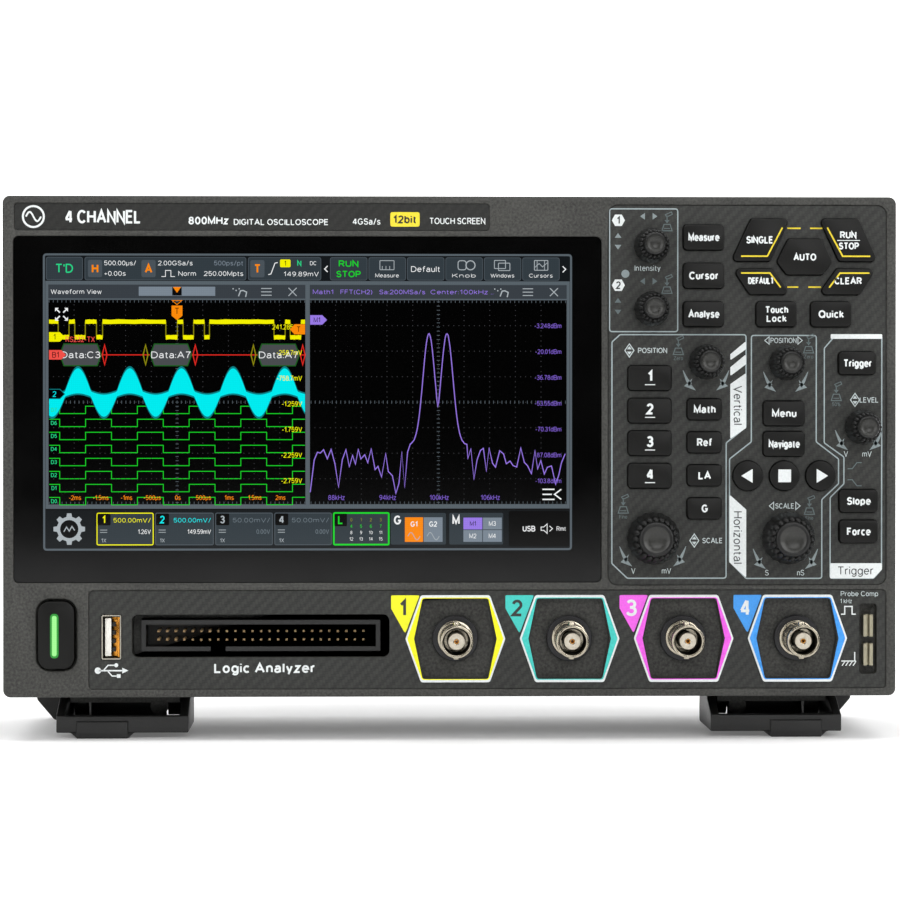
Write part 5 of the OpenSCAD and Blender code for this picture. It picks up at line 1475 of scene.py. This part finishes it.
pins_tree = bpy.data.node_groups.new("pins_in_rows", "GeometryNodeTree")
for label, kind in (("Pins", "Int"), ("Rows", "Int"), ("Pitch", "Float"), ("Pin", "Float"),
                    ("Length", "Float"), ("Material", "Material")):
    pins_tree.interface.new_socket(label, in_out="INPUT", socket_type="NodeSocket" + kind)
pins_tree.interface.new_socket("Geometry", in_out="OUTPUT", socket_type="NodeSocketGeometry")
given = add(pins_tree, "NodeGroupInput").outputs
spans = {}
for label in ("Pins", "Rows"):
    gaps = add(pins_tree, "ShaderNodeMath", {0: given[label], 1: 1.0}, operation="SUBTRACT")
    spans[label] = add(pins_tree, "ShaderNodeMath", {0: gaps.outputs[0], 1: given["Pitch"]},
                       operation="MULTIPLY").outputs[0]
places = add(pins_tree, "GeometryNodeMeshGrid", {"Size X": spans["Pins"], "Size Y": spans["Rows"],
                                                 "Vertices X": given["Pins"],
                                                 "Vertices Y": given["Rows"]})
pin_size = add(pins_tree, "ShaderNodeCombineXYZ", {0: given["Pin"], 1: given["Pin"],
                                                   2: given["Length"]})
pin = add(pins_tree, "GeometryNodeMeshCube", {"Size": pin_size.outputs[0]})
half_pin = add(pins_tree, "ShaderNodeMath", {0: given["Pin"], 1: math.sqrt(0.5)},
               operation="MULTIPLY").outputs[0]
tip = add(pins_tree, "GeometryNodeMeshCone", {"Vertices": 4, "Radius Bottom": half_pin,
                                              "Depth": given["Pin"]})
tip_at = add(pins_tree, "ShaderNodeMath", {0: given["Length"], 1: 0.5}, operation="MULTIPLY")
tip_move = add(pins_tree, "ShaderNodeCombineXYZ", {2: tip_at.outputs[0]})
tip_up = add(pins_tree, "GeometryNodeTransform", {"Geometry": tip.outputs["Mesh"],
                                                  "Translation": tip_move.outputs[0],
                                                  "Rotation": (0, 0, math.pi / 4)})
whole_pin = add(pins_tree, "GeometryNodeJoinGeometry", {0: pin.outputs["Mesh"]})
pins_tree.links.new(tip_up.outputs[0], whole_pin.inputs[0])
pins = add(pins_tree, "GeometryNodeInstanceOnPoints", {"Points": places.outputs["Mesh"],
                                                       "Instance": whole_pin.outputs[0]})
facing = add(pins_tree, "GeometryNodeTransform", {"Geometry": pins.outputs[0],
                                                  "Rotation": (math.pi / 2, 0, 0)})
real_pins = add(pins_tree, "GeometryNodeRealizeInstances", {0: facing.outputs[0]})
dyed = add(pins_tree, "GeometryNodeSetMaterial", {"Geometry": real_pins.outputs[0],
                                                  "Material": given["Material"]})
pins_tree.links.new(dyed.outputs[0], add(pins_tree, "NodeGroupOutput").inputs[0])

HEADER_X, HEADER_Z = LEFT + 76.2, BOTTOM + 18.1
PIN_FRONT, PIN_BACK = PANEL_Y + 3.4, PANEL_Y + 12.7
header_pins = grown("header_pins", pins_tree, {
    "Pins": 25, "Rows": 2, "Pitch": 2.54 * MM, "Pin": 0.64 * MM,
    "Length": (PIN_BACK - PIN_FRONT) * MM, "Material": pin_tips})
header_pins.data.transform(Matrix.Translation(
    Vector((HEADER_X, (PIN_FRONT + PIN_BACK) / 2, HEADER_Z)) * MM))
place_piece(header_pins, "root", None)


def brick(name, low, high, material, body, slot, edge_mm=0.12):
    """A small block with rounded edges."""
    shape = bmesh.new()
    bmesh.ops.create_cube(shape, size=1.0)
    for vert in shape.verts:
        vert.co = Vector([(low[k] + high[k]) / 2 + vert.co[k] * (high[k] - low[k])
                          for k in range(3)]) * MM
    bmesh.ops.bevel(shape, geom=shape.edges[:], offset=edge_mm * MM, segments=2, profile=0.5,
                    affect="EDGES")
    mesh = bpy.data.meshes.new(name)
    shape.to_mesh(mesh)
    shape.free()
    mesh.set_sharp_from_angle(angle=math.radians(50))
    give_material(mesh, material)
    piece = bpy.data.objects.new(name, mesh)
    bpy.context.scene.collection.objects.link(piece)
    return place_piece(piece, body, slot)


USB_FRONT = PANEL_Y + 0.2
brick("usb_tongue", (USB_X - 1.9, USB_FRONT + 0.7, USB_Z - 5.6),
      (USB_X - 0.1, USB_FRONT + 9.0, USB_Z + 5.6), white_nylon, "root", None)
brick("usb_spring_plate", (USB_X + 1.9, USB_FRONT + 0.5, USB_Z - 5.9),
      (USB_X + 2.4, USB_FRONT + 9.0, USB_Z + 5.9), gold, "root", None, 0.05)
brick("usb_back_wall", (USB_X - 0.05, USB_FRONT + 4.0, USB_Z - 5.8),
      (USB_X + 2.0, USB_FRONT + 5.0, USB_Z + 5.8), gold, "root", None, 0.05)
for k in range(4):
    z = USB_Z + (k - 1.5) * 2.5
    brick("usb_contact_%d" % (k + 1), (USB_X, USB_FRONT + 1.6, z - 0.62),
          (USB_X + 1.15, USB_FRONT + 4.1, z + 0.62), black_nylon, "root", None, 0.08)
print("connectors: inputs", len(INPUT_X), "header pins 50")

# %% [markdown]
# The four frames round the inputs carry the channel colours: a white rim outside, the coloured
# band, and a darker step inside. Each is a flat ring between two six-sided outlines.

# %% Channel frames


def hexagon(x, z, mid_width, top_width, height, radius=1.0):
    m, t, h = mid_width / 2, top_width / 2, height / 2
    return rounded_corners([(x - m, z), (x - t, z + h), (x + t, z + h), (x + m, z), (x + t, z - h),
                            (x - t, z - h)], radius)


def ring(name, outer, inner, front, back, material, slot, *stands_for):
    shape = bmesh.new()
    loops = [[shape.verts.new(Vector((x, y, z)) * MM) for x, z in points]
             for points, y in ((outer, front), (inner, front), (inner, back), (outer, back))]
    count = len(outer)
    for near, far in zip(loops, loops[1:] + loops[:1]):
        for k in range(count):
            shape.faces.new((near[k], near[(k + 1) % count], far[(k + 1) % count], far[k]))
    bmesh.ops.recalc_face_normals(shape, faces=shape.faces)
    mesh = bpy.data.meshes.new(name)
    shape.to_mesh(mesh)
    shape.free()
    give_material(mesh, material)
    piece = bpy.data.objects.new(name, mesh)
    bpy.context.scene.collection.objects.link(piece)
    return place_piece(piece, "root", slot, *stands_for)


FRAME_FRONT, FRAME_BACK = PANEL_Y - 0.2, PANEL_Y + 0.4
for i, x in enumerate(INPUT_X, 1):
    wide = hexagon(x, INPUT_Z, 29.7, 20.5, 25.9)
    band = hexagon(x, INPUT_Z, 28.6, 19.9, 24.5)
    step = hexagon(x, INPUT_Z, 24.6, 19.5, 24.0)
    hole = hexagon(x, INPUT_Z, 23.7, 19.45, 23.65)
    stands = ("channel_frames",) if i == 1 else ()
    ring("channel_%d_rim" % i, wide, band, FRAME_FRONT - 0.04, FRAME_BACK, inks["white"],
         "channel_colours", *stands)
    ring("channel_%d_band" % i, band, step, FRAME_FRONT, FRAME_BACK, channel_abs[i],
         "channel_colours")
    ring("channel_%d_step" % i, step, hole, FRAME_FRONT + 0.15, FRAME_BACK, inks["black"],
         "channel_colours")
print("channel frames:", len(INPUT_X))

# %% [markdown]
# The power key has a light pipe in its middle: a pale green core with a green edge.

# %% Power light
LIGHT_X, LIGHT_Z = LEFT + 15.3, BOTTOM + 18.3
power_front = box_mm("key_power")[0][1]
for material, width, height, lift in ((power_glow, 2.5, 13.2, 0.03), (power_core, 1.4, 12.0, 0.06)):
    block(sheet_of("key_power", material, "key_plastic"), LIGHT_X - width / 2, LIGHT_Z - height / 2,
          LIGHT_X + width / 2, LIGHT_Z + height / 2, power_front - lift, width / 2)
print("power light drawn")

# %% [markdown]
# ## Finish
# The drawn sheets become meshes and the scene is finished.

# %% Finish
lay_down()
